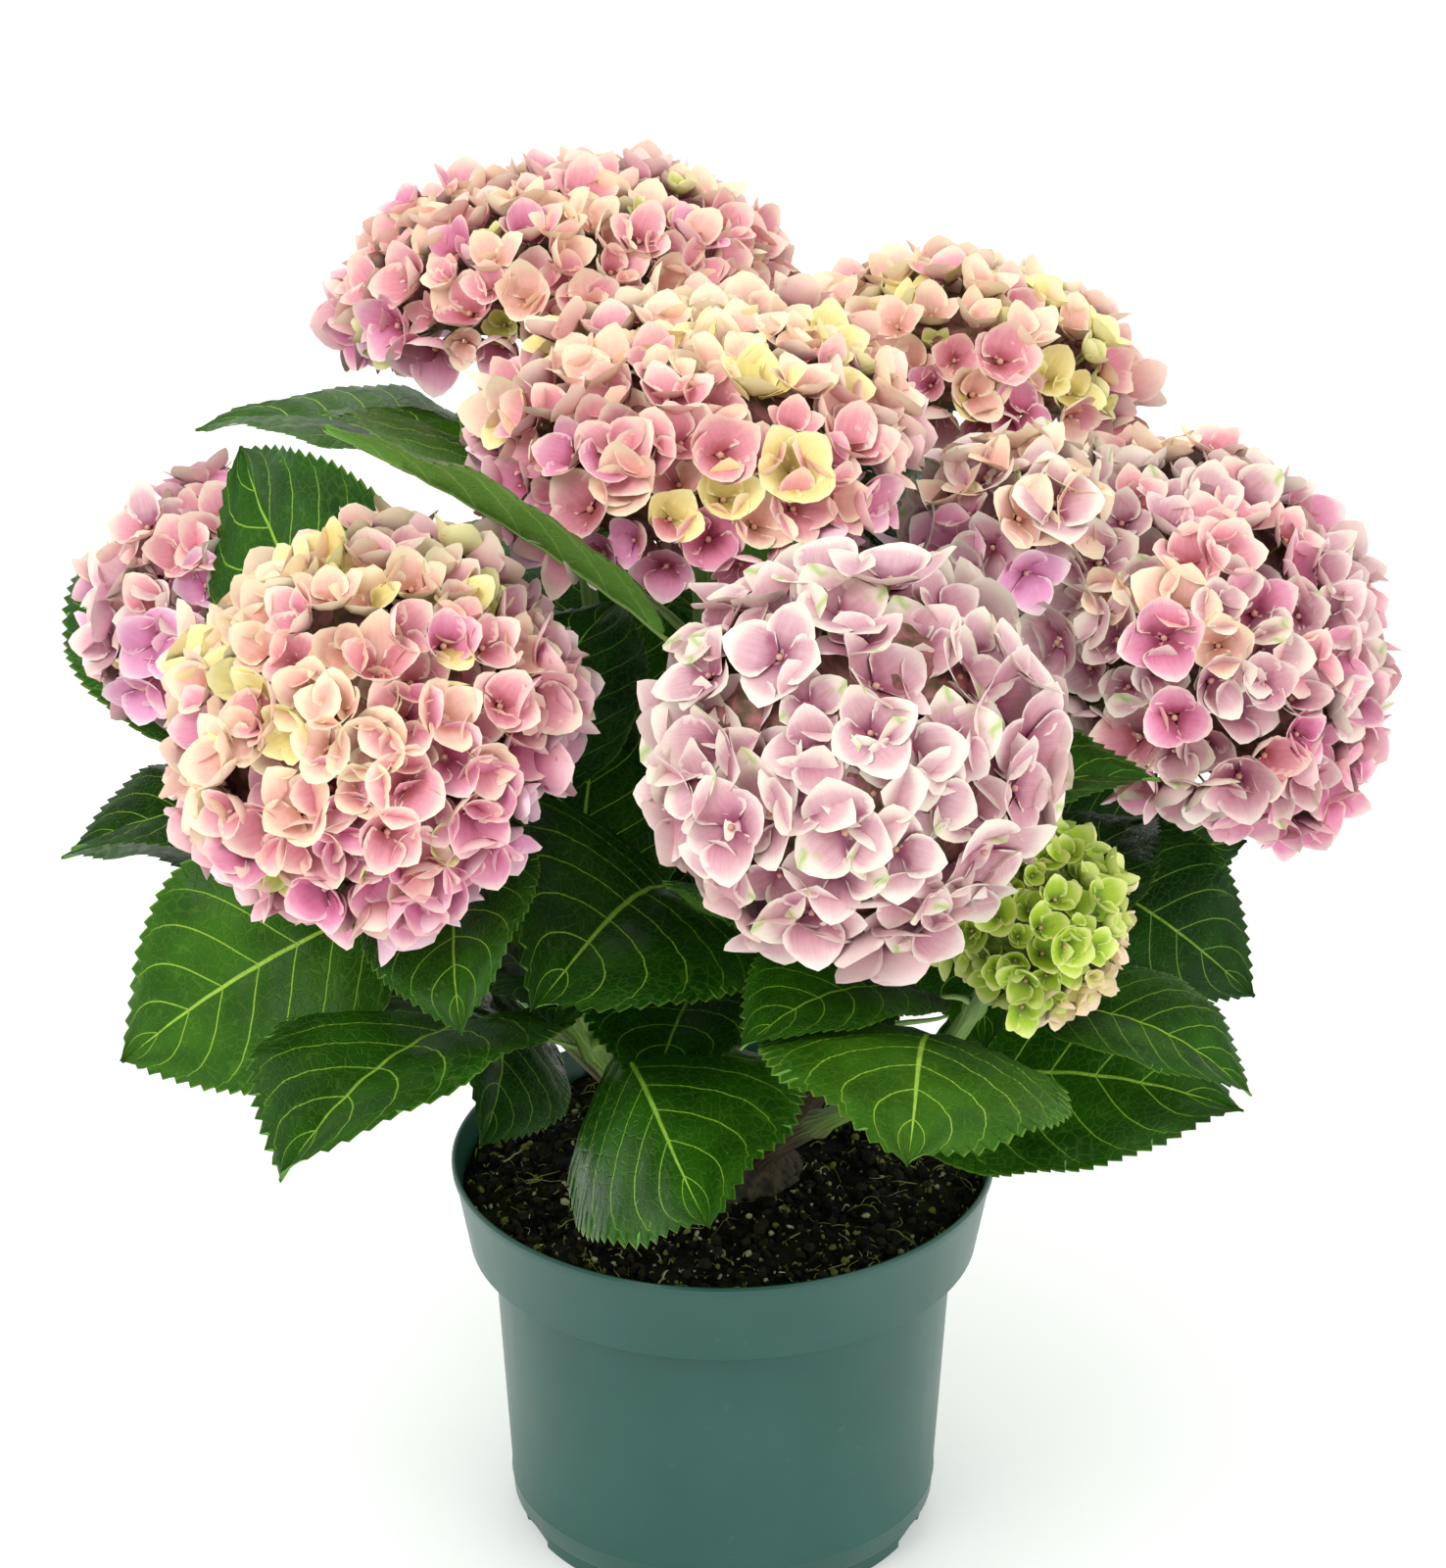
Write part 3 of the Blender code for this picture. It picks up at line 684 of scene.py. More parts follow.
# %% Drawing up a body
def draw_up(name, sides, start, rings, poke=False):
    """A disc drawn through (height, radius) rings into a closed body, as E then S would by hand.

    Poke splits the last face into triangles that meet in its middle.
    """
    height, radius = start
    deselect()
    bpy.ops.mesh.primitive_circle_add(vertices=sides, radius=radius, fill_type="NGON",
                                      location=(0.0, 0.0, height))
    made = grab()
    settle(made)
    made.name = name
    edit(made)
    for next_height, next_radius in rings:
        bpy.ops.mesh.extrude_region_move(
            TRANSFORM_OT_translate={"value": (0.0, 0.0, next_height - height)})
        share = next_radius / radius
        bpy.ops.transform.resize(value=(share, share, 1.0), center_override=(0.0, 0.0, next_height))
        height, radius = next_height, next_radius
    if poke:
        bpy.ops.mesh.poke()
    bpy.ops.mesh.select_all(action="SELECT")
    bpy.ops.mesh.normals_make_consistent(inside=False)
    close_edit()
    return made


pot = draw_up("pot_shell", POT_SEGMENTS, (0.0, FOOT_RADIUS), OUTSIDE + INSIDE)
print("pot:", len(pot.data.polygons), "faces")

# %% [markdown]
# The notches are cut with one rounded bar, copied round the foot.  A Boolean modifier takes the
# bars away together.

# %% The drain notches
deselect()
bpy.ops.mesh.primitive_cube_add(size=1.0)
cutter = grab()
cutter.scale = NOTCH_SIZE
settle(cutter)
bevel = cutter.modifiers.new("round", "BEVEL")
bevel.width = NOTCH_ROUNDING
bevel.segments = 4
bake_modifiers(cutter)
cutter.location = (FOOT_RADIUS + NOTCH_SIZE[0] * 0.12, 0.0, 0.0)
settle(cutter)
cutters = [cutter]
for number in range(1, NOTCHES):
    twin = cutter.copy()
    twin.data = cutter.data.copy()
    show(twin)
    cutters.append(twin)
for number, twin in enumerate(cutters):
    twin.rotation_euler.z = math.tau * (number + 0.5) / NOTCHES
    settle(twin)
take(cutters[0])
for twin in cutters:
    twin.select_set(True)
bpy.ops.object.join()
cutter = grab()
boolean = pot.modifiers.new("notches", "BOOLEAN")
boolean.operation = "DIFFERENCE"
boolean.object = cutter
boolean.solver = "EXACT"
bake_modifiers(pot)
bpy.data.objects.remove(cutter)
smooth(pot, 32.0)
print("pot with notches:", len(pot.data.polygons), "faces")

# %% [markdown]
# Moulded plastic is one colour all through.  What tells the eye it is real is the roughness:
# faint vertical drag lines, a cloudy mottle and a few pale scuffs.

# %% Satin plastic
plastic = Finish("green_plastic", roughness=0.36, Specular_IOR_Level=0.50)
spot = plastic.place()
stretched = plastic.node("ShaderNodeMapping", Vector=spot, Scale=(90.0, 90.0, 6.0))
drag = plastic.noise(stretched, 1.0, detail=3.0)
mottle = plastic.noise(spot, 22.0, detail=4.0)
scuff = plastic.noise(spot, 160.0, detail=2.0).step(0.68, 0.80)
body_green = plastic.mix(mottle.step(0.30, 0.75), (0.008, 0.076, 0.058), (0.012, 0.088, 0.070))
body_green = plastic.mix(scuff * 0.22, body_green, (0.08, 0.19, 0.16))
plastic.feed(colour=body_green, roughness=drag * 0.14 + mottle * 0.08 + 0.24,
             height=drag * 0.5 + mottle * 0.5, depth=0.00025, strength=0.35)
dress(pot, plastic)
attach(pot, "root")
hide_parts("pot")

# %% [markdown]
# ## The soil
#
# Potting soil is peat: a dark lumpy bed, loose crumbs on top of it, and pale broken fibres.  The
# bed is a disc with many rings, extruded inward and then pushed up and down by noise.  The
# crumbs and fibres are heaps of small copies scattered over it.

# %% The bed
SOIL_RINGS = 64
SOIL_TURNS = 160
SOIL_UNDER = 0.86
LUMP = 0.0021
WALL_REACH = POT_RIM_RADIUS - POT_WALL


def soil_height(x, y):
    """Height of the bumpy bed at a place."""
    reach = math.hypot(x, y)
    share = min(1.0, max(0.0, (reach - SOIL_FLAT_RADIUS) / (WALL_REACH - SOIL_FLAT_RADIUS)))
    level = SOIL_TOP - SOIL_MOUND * share
    spot = Vector((x, y, 0.0))
    lumps = noise.fractal(spot * 110.0, 1.0, 2.1, 4) * 0.8 + noise.noise(spot * 42.0) * 0.9
    return level + LUMP * lumps


SOIL_REACH = (WALL_REACH - 0.0003
              - (POT_RIM_RADIUS - BAND_LOW_RADIUS) * SOIL_EDGE_DROP / BAND_HEIGHT)
inward = [(SOIL_EDGE, SOIL_REACH * (1.0 - ring / SOIL_RINGS)) for ring in range(SOIL_RINGS)]
soil = draw_up("potting_soil", SOIL_TURNS, (BAND_LOW + 0.002, SOIL_REACH * SOIL_UNDER), inward,
               poke=True)
for corner in soil.data.vertices:
    if corner.co.z > SOIL_EDGE - 0.0001:
        corner.co.z = soil_height(corner.co.x, corner.co.y)
smooth(soil, 180.0)
print("soil bed:", len(soil.data.polygons), "faces")

# %% [markdown]
# Wet peat is nearly black, with brown where it has dried and a green film of algae here and
# there.  The colour follows two noises, and a bump adds the grain that is too small to model.

# %% Peat
peat = Finish("peat", roughness=0.85, Specular_IOR_Level=0.15)
spot = peat.place()
damp = peat.noise(spot, 70.0, detail=5.0)
grain = peat.noise(spot, 900.0, detail=3.0)
algae = peat.noise(spot, 34.0, detail=3.0).step(0.58, 0.72)
earth = peat.mix(damp.step(0.42, 0.72), (0.0014, 0.0010, 0.0006), (0.013, 0.011, 0.005))
earth = peat.mix(algae * 0.45, earth, (0.034, 0.040, 0.010))
earth = peat.mix(grain.step(0.62, 0.75) * 0.5, earth, (0.080, 0.062, 0.030))
peat.feed(colour=earth, roughness=damp * -0.35 + 0.98, height=grain * 0.6 + damp, depth=0.0012)
dress(soil, peat)
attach(soil, "root")
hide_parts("soil")

# %% [markdown]
# A crumb is an icosphere squeezed out of round.  One is made by hand and read as arrays, then
# every copy gets its own size, stretch and turn.

# %% One crumb, by hand
def icosphere(subdivisions):
    """Corners and faces of a unit icosphere."""
    deselect()
    bpy.ops.mesh.primitive_ico_sphere_add(subdivisions=subdivisions, radius=1.0)
    ball = grab()
    corners = np.array([corner.co for corner in ball.data.vertices])
    faces = np.array([face.vertices[:] for face in ball.data.polygons])
    bpy.data.objects.remove(ball)
    return corners, faces


BALL, BALL_FACES = icosphere(1)
BALL_UV = np.broadcast_to(((0.0, 0.0), (1.0, 0.0), (0.5, 1.0)), (len(BALL_FACES), 3, 2))


def random_turns(count):
    """Random rotation matrices, from random quaternions."""
    w, x, y, z = np.moveaxis(chance.normal(size=(count, 4)), 1, 0)
    size = np.sqrt(w * w + x * x + y * y + z * z)
    w, x, y, z = w / size, x / size, y / size, z / size
    rows = (1 - 2 * (y * y + z * z), 2 * (x * y - z * w), 2 * (x * z + y * w),
            2 * (x * y + z * w), 1 - 2 * (x * x + z * z), 2 * (y * z - x * w),
            2 * (x * z - y * w), 2 * (y * z + x * w), 1 - 2 * (x * x + y * y))
    return np.stack(rows, axis=-1).reshape(-1, 3, 3)


def soil_places(count, inner=0.0):
    """Random places over the soil outside an inner share of its radius, with their heights."""
    reach = np.sqrt(inner ** 2 + chance.random(count) * (1.0 - inner ** 2)) * SOIL_REACH * 0.985
    turn = chance.random(count) * math.tau
    x, y = reach * np.cos(turn), reach * np.sin(turn)
    height = np.array([soil_height(px, py) for px, py in zip(x, y)])
    return np.stack((x, y, height), axis=-1)

# %% [markdown]
# The crumbs differ in size, most of them tiny.  The large ones keep to the two dark tones, and
# moss and pale bits are always small.

# %% Crumbs
CRUMBS = 3200
CRUMB_TONES = ((0.003, 0.002, 0.001), (0.018, 0.014, 0.006), (0.180, 0.175, 0.040),
               (0.450, 0.430, 0.260))
CRUMB_ODDS = (0.50, 0.21, 0.18, 0.11)
CRUMB_LEAST, CRUMB_RANGE, CRUMB_LARGE = 0.0004, 0.0021, 0.0016
crumbs = Heap("soil_crumbs")
sizes = CRUMB_LEAST + CRUMB_RANGE * chance.random(CRUMBS) ** 3.0
stretch = 0.55 + 0.9 * chance.random((CRUMBS, 1, 3))
shapes = BALL[None] * (1.0 + 0.35 * (chance.random((CRUMBS, len(BALL), 1)) - 0.5)) * stretch
shapes = np.einsum("nij,nkj->nki", random_turns(CRUMBS), shapes) * sizes[:, None, None]
places = soil_places(CRUMBS)
places[:, 2] += sizes * 0.35
tones = chance.choice(len(CRUMB_TONES), CRUMBS, p=CRUMB_ODDS)
tones[sizes > CRUMB_LARGE] = np.minimum(tones[sizes > CRUMB_LARGE], 1)
cells = atlas_cell(BALL_UV[None], tones[:, None, None], 2)
crumbs.add(shapes + places[:, None], BALL_FACES, BALL_UV, cells, tones)
crumb_finishes = plain_finishes("crumb", CRUMB_TONES, roughness=0.8, Specular_IOR_Level=0.2)
crumb_piece = crumbs.build(crumb_finishes, angle=20.0)
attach(crumb_piece, "root")

# %% [markdown]
# Fibres are short bent tubes with three sides: straw, dark rootlets, yellow-green shreds of moss
# and a few pale splinters.  They lie thicker near the pot's wall.

# %% Fibres
FIBRES, RIM_FIBRES = 420, 260
FIBRE_STEPS = 6
FIBRE_TONES = ((0.400, 0.330, 0.110), (0.050, 0.034, 0.014), (0.240, 0.290, 0.035),
               (0.640, 0.600, 0.380))
FIBRE_ODDS = (0.34, 0.22, 0.32, 0.12)
FIBRE_LEAST, FIBRE_RANGE = 0.0018, 0.018
MOSS = 2
fibres = Heap("soil_fibres")
for start in np.concatenate((soil_places(FIBRES), soil_places(RIM_FIBRES, inner=0.72))):
    tone = chance.choice(len(FIBRE_TONES), p=FIBRE_ODDS)
    length = FIBRE_LEAST + FIBRE_RANGE * chance.random() ** 4.0
    turn = chance.random() * math.tau
    bend = chance.normal() * 1.1
    rise = 0.0002 + 0.0015 * chance.random()
    thick = (0.00010 + 0.00024 * chance.random() ** 2) * (1.5 if tone == MOSS else 1.0)
    x, y = start[0], start[1]
    line = []
    for step in range(FIBRE_STEPS):
        hump = math.sin(math.pi * step / (FIBRE_STEPS - 1))
        line.append((x, y, soil_height(x, y) + 0.0003 + rise * hump))
        x += math.cos(turn) * length / FIBRE_STEPS
        y += math.sin(turn) * length / FIBRE_STEPS
        turn += bend / FIBRE_STEPS + chance.normal() * 0.35
    if max(math.hypot(place[0], place[1]) for place in line) < SOIL_REACH * 0.99:
        add_tube(fibres, line, np.linspace(thick, thick * 0.5, FIBRE_STEPS), 3, slot=tone,
                 cell=(tone, 2))
fibre_piece = fibres.build(plain_finishes("fibre", FIBRE_TONES, roughness=0.75))
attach(fibre_piece, "root")

# %% [markdown]
# ## The old wood and the stems
#
# All nine stems rise from a low woody crown that stays in the soil from year to year.  It is
# extruded from a disc like the pot, a shoulder and a top drawn in ring by ring, and noise then
# knobbles it.

# %% The crown
CROWN_RADIUS = 0.0280
CROWN_SHOULDER_RADIUS = 0.0225
CROWN_TOP_RADIUS = 0.0215
CROWN_SIDES = 96
CROWN_RINGS = 16
CROWN_KNOBS = 0.0016
crown_low = SOIL_TOP + GAP
crown_top = crown_low + CROWN_HEIGHT
flank = [(crown_low + CROWN_HEIGHT * share,
          float(np.interp(share, (0.0, 0.6, 1.0),
                          (CROWN_RADIUS, CROWN_SHOULDER_RADIUS, CROWN_TOP_RADIUS))))
         for share in np.linspace(0.1, 1.0, CROWN_RINGS)]
top = [(crown_top, CROWN_TOP_RADIUS * (1.0 - ring / CROWN_RINGS)) for ring in range(1, CROWN_RINGS)]
crown = draw_up("woody_base", CROWN_SIDES, (crown_low, CROWN_RADIUS), flank + top, poke=True)
for corner in crown.data.vertices:
    spot = corner.co
    knob = noise.fractal(Vector(spot) * 160.0, 1.0, 2.0, 3) * CROWN_KNOBS
    share = 1.0 + knob / CROWN_RADIUS
    spot.x, spot.y = spot.x * share, spot.y * share
    if spot.z > crown_low + 0.0005:
        spot.z += knob * 0.5
smooth(crown, 180.0)
print("crown:", len(crown.data.polygons), "faces")

# %% [markdown]
# Bark at the base is grey-brown with fine cracks that run upward.

# %% Bark
bark = Finish("bark", roughness=0.8)
spot = bark.place()
stretched = bark.node("ShaderNodeMapping", Vector=spot, Scale=(420.0, 420.0, 90.0))
cracks = bark.noise(stretched, 1.0, detail=4.0)
patches = bark.noise(spot, 120.0, detail=3.0)
wood = bark.mix(cracks.step(0.35, 0.65), (0.012, 0.008, 0.004), (0.070, 0.048, 0.026))
wood = bark.mix(patches.step(0.55, 0.75) * 0.6, wood, (0.060, 0.070, 0.022))
bark.feed(colour=wood, roughness=cracks * -0.2 + 0.9, height=cracks, depth=0.0006)
dress(crown, bark)
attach(crown, "root")
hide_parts("woody_crown")

# %% [markdown]
# A stem is a tapering tube that swells into a ring wherever a pair of leaves joins it.  Brown
# corky bark covers the foot, and the upper run is green, flecked with small reddish pores.

# %% Stems
STEM_SIDES = 14
STEM_RINGS = 72
NODE_SWELL = 0.42
NODE_REACH = 0.0035
RIDGES, RIDGE_DEPTH = 6, 0.035
FOOT_SINK = 0.003
ATLAS_STEMS = 3


def stem_line(shoot):
    """Points, radii and swelling of a stem from the crown to the neck."""
    path = PATHS[shoot.name]
    shares = np.linspace(0.0, 1.0, STEM_RINGS)
    points = np.array([place_on(path, share) for share in shares])
    points[0, 2] -= FOOT_SINK
    radii = np.interp(shares, (0.0, 0.05, STEM_SHARE, 1.0),
                      (STEM_RADIUS * 1.25, STEM_RADIUS, CUT_RADIUS, NECK_RADIUS))
    walked = np.concatenate(([0.0], np.cumsum(np.linalg.norm(np.diff(points, axis=0), axis=1))))
    for pair in shoot.pairs:
        along = STEM_SHARE + (1.0 - STEM_SHARE) * pair.along
        place = np.interp(along, shares, walked)
        radii = radii * (1.0 + NODE_SWELL * np.exp(-((walked - place) / NODE_REACH) ** 2))
    return points, radii


stems = Heap("woody_stems")
for number, shoot in enumerate(SHOOTS):
    line, radii = stem_line(shoot)
    turns = np.linspace(0.0, math.tau, STEM_SIDES, endpoint=False)
    ridges = 1.0 + RIDGE_DEPTH * np.cos(turns * RIDGES + number)
    add_tube(stems, line, radii, STEM_SIDES, swell=ridges, cell=(number, ATLAS_STEMS))

# %% [markdown]
# The stem's finish reads its own UV map, round in X and up in Y, so brown gives way to green at
# the same share of every stem.

# %% Green and brown skin
rind = Finish("stem_rind", roughness=0.55)
around, up = rind.shape()
speck = rind.noise(rind.vector(around * 26.0, up * 190.0), 1.0, detail=2.0)
streak = rind.noise(rind.vector(around * 34.0, up * 9.0), 1.0, detail=3.0)
woody = (up + streak * 0.16).step(0.42, 0.18)
green = rind.mix(streak.step(0.35, 0.7), (0.075, 0.165, 0.018), (0.160, 0.280, 0.045))
green = rind.mix(speck.step(0.62, 0.70) * 0.7, green, (0.110, 0.040, 0.022))
brown = rind.mix(streak.step(0.40, 0.62), (0.030, 0.019, 0.009), (0.120, 0.084, 0.046))
rind.feed(colour=rind.mix(woody, green, brown), roughness=woody * 0.3 + 0.5,
          height=speck * 0.5 + streak, depth=0.0004)
stem_piece = stems.build([rind.material])
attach(stem_piece, "root")
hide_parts(*[f"stem_{shoot.name}" for shoot in SHOOTS])

# %% [markdown]
# ## The leaves
#
# A hydrangea leaf is broad, toothed all round, drawn out to a point, and quilted: the blade bulges
# up between its side veins.  The solid model says where each leaf lies and how it droops.  The
# real blade follows that sheet and adds teeth, waves and quilting.

# %% One blade, row by row
LEAF_TEETH = 26
ROWS_PER_TOOTH = 3
LEAF_ROWS = LEAF_TEETH * ROWS_PER_TOOTH + 2
LEAF_SIDE = np.array((0.0, 0.16, 0.34, 0.52, 0.70, 0.87, 1.0))
LEAF_ACROSS = np.concatenate((LEAF_SIDE[:0:-1], -LEAF_SIDE))
LEAF_COLUMNS = len(LEAF_ACROSS)
LEAF_FACES, LEAF_UV = skin(LEAF_ROWS, LEAF_COLUMNS)
TOOTH_DEPTH = 0.0110
TOOTH_RISE = np.array((-0.5, 0.12, 0.5))
TOOTH_LEAN = np.array((0.0, 0.10, 0.45))
TOOTH_START, TOOTH_END, TOOTH_FADE = 0.10, 0.97, 0.05
TOOTH_BAND = 0.30
LEAF_BODY = 0.00042
LEAF_ARCH, ARCH_FALL = 0.16, 1.6
VEIN_COUNT = 7.6
VEIN_CLIMB = 0.21
VEIN_SWEEP = 0.10
VEIN_START = 0.36
QUILT = 0.0125
RIB_DEPTH, RIB_REACH = 0.010, 0.10
WAVE, SWAY = 0.016, 0.02
BLADE_TIP = 0.0004


def vein_phase(side, share):
    """Whole numbers fall on the side veins, which climb and sweep to the margin."""
    return (share - VEIN_CLIMB * side - VEIN_SWEEP * side ** 3 + VEIN_START) * VEIN_COUNT


def blade_half_width(share):
    """Half the blade's width at a share of its length, for a blade one unit wide."""
    away_low = np.clip((LEAF_WIDEST - share) / LEAF_WIDEST, 0.0, 1.0)
    away_high = np.clip((share - LEAF_WIDEST) / (1.0 - LEAF_WIDEST), 0.0, 1.0)
    low = np.sqrt(1.0 - away_low ** LEAF_BASE_POWER)
    high = (1.0 - away_high ** 2) ** LEAF_TIP_POWER
    return 0.5 * np.where(share < LEAF_WIDEST, low, high)


print("blade:", LEAF_ROWS, "rows,", LEAF_COLUMNS, "columns,", len(LEAF_FACES), "faces")

# %% [markdown]
# Every corner of a blade is worked out at once.  Teeth push the margin in and out, the midrib
# bends in an arc, each half folds up from it and arches over, and quilting and waves lift it.

# %% The blade in relief
def leaf_blade(leaf, droop):
    """Corners of one blade in its own frame: X along the midrib's chord, Y left, Z up."""
    share = np.linspace(0.0, 1.0, LEAF_ROWS)[:, None]
    side = LEAF_ACROSS[None]
    away = abs(side)
    row = (np.arange(LEAF_ROWS) % ROWS_PER_TOOTH)[:, None]
    toothed = (np.clip(share / TOOTH_START, 0.0, 1.0)
               * np.clip((TOOTH_END - share) / TOOTH_FADE, 0.0, 1.0))
    rim = np.clip((away - 1.0 + TOOTH_BAND) / TOOTH_BAND, 0.0, 1.0) ** 1.5
    jitter = chance.random((LEAF_ROWS, 1)) * 0.5 + 0.75
    tooth = TOOTH_RISE[row] * toothed * rim * TOOTH_DEPTH * leaf.length * jitter
    bent_share = share + TOOTH_LEAN[row] * toothed * rim / LEAF_ROWS * ROWS_PER_TOOTH
    bend = droop * (0.5 - bent_share)
    radius = leaf.length / droop
    along = radius * (math.sin(droop / 2.0) - np.sin(bend))
    lift = radius * (np.cos(bend) - math.cos(droop / 2.0))
    half = np.maximum(BLADE_TIP, blade_half_width(share) * leaf.length * LEAF_WIDTH)
    fold = math.radians(leaf.fold)
    out = away * half + tooth
    arch = half * LEAF_ARCH * (np.sin(math.pi * away * 0.5) - away * ARCH_FALL) * away
    across = out * math.cos(fold) - arch * math.sin(fold)
    up = out * math.sin(fold) + arch * math.cos(fold)
    phase = vein_phase(away, share)
    between = 0.5 - 0.5 * np.cos(phase * math.tau)
    pillow = between * np.sin(math.pi * np.clip(away * 0.92 + 0.08, 0, 1)) ** 0.7
    quilt = QUILT * leaf.length * pillow * np.clip(half / (0.18 * leaf.length), 0.0, 1.0)
    ribs = -RIB_DEPTH * leaf.length * np.exp(-(away / RIB_REACH) ** 2)
    first, second = chance.random(2) * math.tau
    wave = (np.sin(share * 15.0 + first + side * 1.3) * 0.6
            + np.sin(share * 27.0 + second + (side > 0) * 2.0) * 0.4)
    wave = wave * away ** 2.6 * WAVE * leaf.length * np.clip(share * 6.0, 0.0, 1.0)
    sway = SWAY * leaf.length * math.sin(first * 3.0) * np.sin(share * math.pi * 1.3)
    top = np.stack((along + 0 * side, np.sign(side) * across + sway,
                    lift + up + quilt + ribs + wave), axis=-1)
    inner = top[1:-1, 1:-1] - (0.0, 0.0, LEAF_BODY)
    return np.concatenate((top.reshape(-1, 3), inner.reshape(-1, 3)))

# %% [markdown]
# The finished blade is turned to its heading, rise and roll.

# %% A blade's own frame
def leaf_turn(leaf):
    """The rotation that lays a blade along its heading, as columns along, left and normal."""
    along = direction(leaf.heading, leaf.rise)
    left = Vector((0.0, 0.0, 1.0)).cross(along).normalized()
    normal = along.cross(left)
    roll = Matrix.Rotation(math.radians(leaf.roll), 3, along)
    return np.array(Matrix((along, roll @ left, roll @ normal)).transposed())

# %% [markdown]
# The leaf's green follows its veins.  The UV map runs across the blade in X and from base to tip
# in Y, so the same vein formula that bulged the mesh also draws the pale veins, and a Voronoi
# net fills the spaces between them.  Four finishes, dealt leaf by leaf, keep neighbours apart.

# %% Leaf finishes
LEAF_CELLS = 3
UNDER_DARK, UNDER_LIGHT, UNDER_VEIN = ((0.130, 0.320, 0.045), (0.195, 0.420, 0.075),
                                       (0.340, 0.560, 0.150))


def leaf_finish(name, dark, light, vein, gloss):
    """A leaf's two greens, its pale veins and how rough its skin is."""
    finish = Finish(name, roughness=gloss, Specular_IOR_Level=0.13)
    x, y, side, back = finish.two_sides()
    phase = (y - side * VEIN_CLIMB - side ** 3.0 * VEIN_SWEEP + VEIN_START) * VEIN_COUNT
    offset = phase.part()
    near = offset.math("MINIMUM", 1.0 - offset)
    laterals = near.step(0.030, 0.009) * side.step(1.10, 0.50)
    midrib = side.step(0.024, 0.009)
    net = finish.node("ShaderNodeTexVoronoi", {"feature": "DISTANCE_TO_EDGE"},
                      Vector=finish.vector(x * 0.80, y), Scale=34.0)
    ladder = finish.number(net).step(0.10, 0.01)
    tone = finish.noise(finish.vector(x, y), 3.2, detail=2.0)
    base = finish.mix(tone.step(0.30, 0.72), dark, light)
    base = finish.mix(near.step(0.26, 0.03) * 0.25, base, light)
    base = finish.mix(ladder * 0.07, base, vein)
    base = finish.mix(laterals * 0.85, base, vein)
    base = finish.mix(midrib, base, vein)
    base = finish.mix(side.step(0.965, 1.0) * 0.30, base, vein)
    under = finish.mix(ladder * 0.45, UNDER_DARK, UNDER_LIGHT)
    under = finish.mix(laterals.math("MAXIMUM", midrib), under, UNDER_VEIN)
    height = ladder * -0.45 - laterals * 0.5
    finish.feed(colour=finish.mix(back, base, under), roughness=tone * 0.16 + (gloss - 0.06),
                height=height, depth=0.0006, strength=0.7)
    return finish.material

# %% [markdown]
# The four finishes differ in their greens.  A stalk is paler than any blade, with fine streaks.

# %% Four greens and a stalk
LEAF_FINISHES = [
    leaf_finish("leaf_deep", (0.0030, 0.0290, 0.0008), (0.0110, 0.0690, 0.0014),
                (0.270, 0.490, 0.045), 0.32),
    leaf_finish("leaf_green", (0.0070, 0.0470, 0.0010), (0.0200, 0.1020, 0.0022),
                (0.290, 0.520, 0.050), 0.34),
    leaf_finish("leaf_blue_green", (0.0040, 0.0310, 0.0030), (0.0150, 0.0720, 0.0065),
                (0.260, 0.450, 0.065), 0.30),
    leaf_finish("leaf_fresh", (0.0150, 0.0740, 0.0014), (0.0380, 0.1440, 0.0040),
                (0.350, 0.580, 0.065), 0.36),
]
stalk = Finish("leaf_stalk", roughness=0.5)
around, up = stalk.shape()
streak = stalk.noise(stalk.vector(around * 9.0, up * 5.0), 1.0, detail=3.0)
stalk.feed(colour=stalk.mix(streak.step(0.3, 0.7), (0.150, 0.270, 0.050), (0.260, 0.400, 0.100)))
print("leaf finishes:", len(LEAF_FINISHES))

# %% [markdown]
# The plan gives most of the leaves.  Some low ones between the stems, and one that slants across
# the front, are added to it here.  Each names its finish, and a few planned leaves do so too.  On
# two of those the green is painted light and shade: a darker green where the heads shade a leaf,
# a lighter one where a leaf is strongly lit.

# %% More leaves and their finishes
DEEP, GREEN, BLUE_GREEN, FRESH = range(len(LEAF_FINISHES))
FINISH_ODDS = (0.34, 0.32, 0.18, 0.16)
Placed = namedtuple("Placed", "along leaf finish base droop", defaults=(None, LEAF_DROOP))
SLANTING = Placed(0.80, Leaf(164, 27, 0.124, 31, 12), FRESH, (-0.018, -0.121, 0.391),
                  math.radians(14.0))
EXTRA_LEAVES = {
    "middle": (SLANTING, Placed(0.24, Leaf(104, -2, 0.105), DEEP),
               Placed(0.28, Leaf(66, 2, 0.105), BLUE_GREEN),
               Placed(0.30, Leaf(-100, 2, 0.090), DEEP),
               Placed(0.27, Leaf(-10, 0, 0.105), GREEN),
               Placed(0.36, Leaf(-14, 2, 0.100), DEEP)),
    "back_left": (Placed(0.30, Leaf(128, 0, 0.112, 10), DEEP),
                  Placed(0.32, Leaf(158, 6, 0.105, -8), GREEN)),
    "back_right": (Placed(0.28, Leaf(40, 0, 0.100), BLUE_GREEN),
                   Placed(0.34, Leaf(-35, 6, 0.090), DEEP)),
    "back": (Placed(0.30, Leaf(130, 4, 0.105), BLUE_GREEN),),
    "far_left": (Placed(0.30, Leaf(-135, 2, 0.095), DEEP),),
    "front_left": (Placed(0.26, Leaf(-158, 14, 0.095), DEEP),
                   Placed(0.34, Leaf(-95, 24, 0.085), BLUE_GREEN)),
}
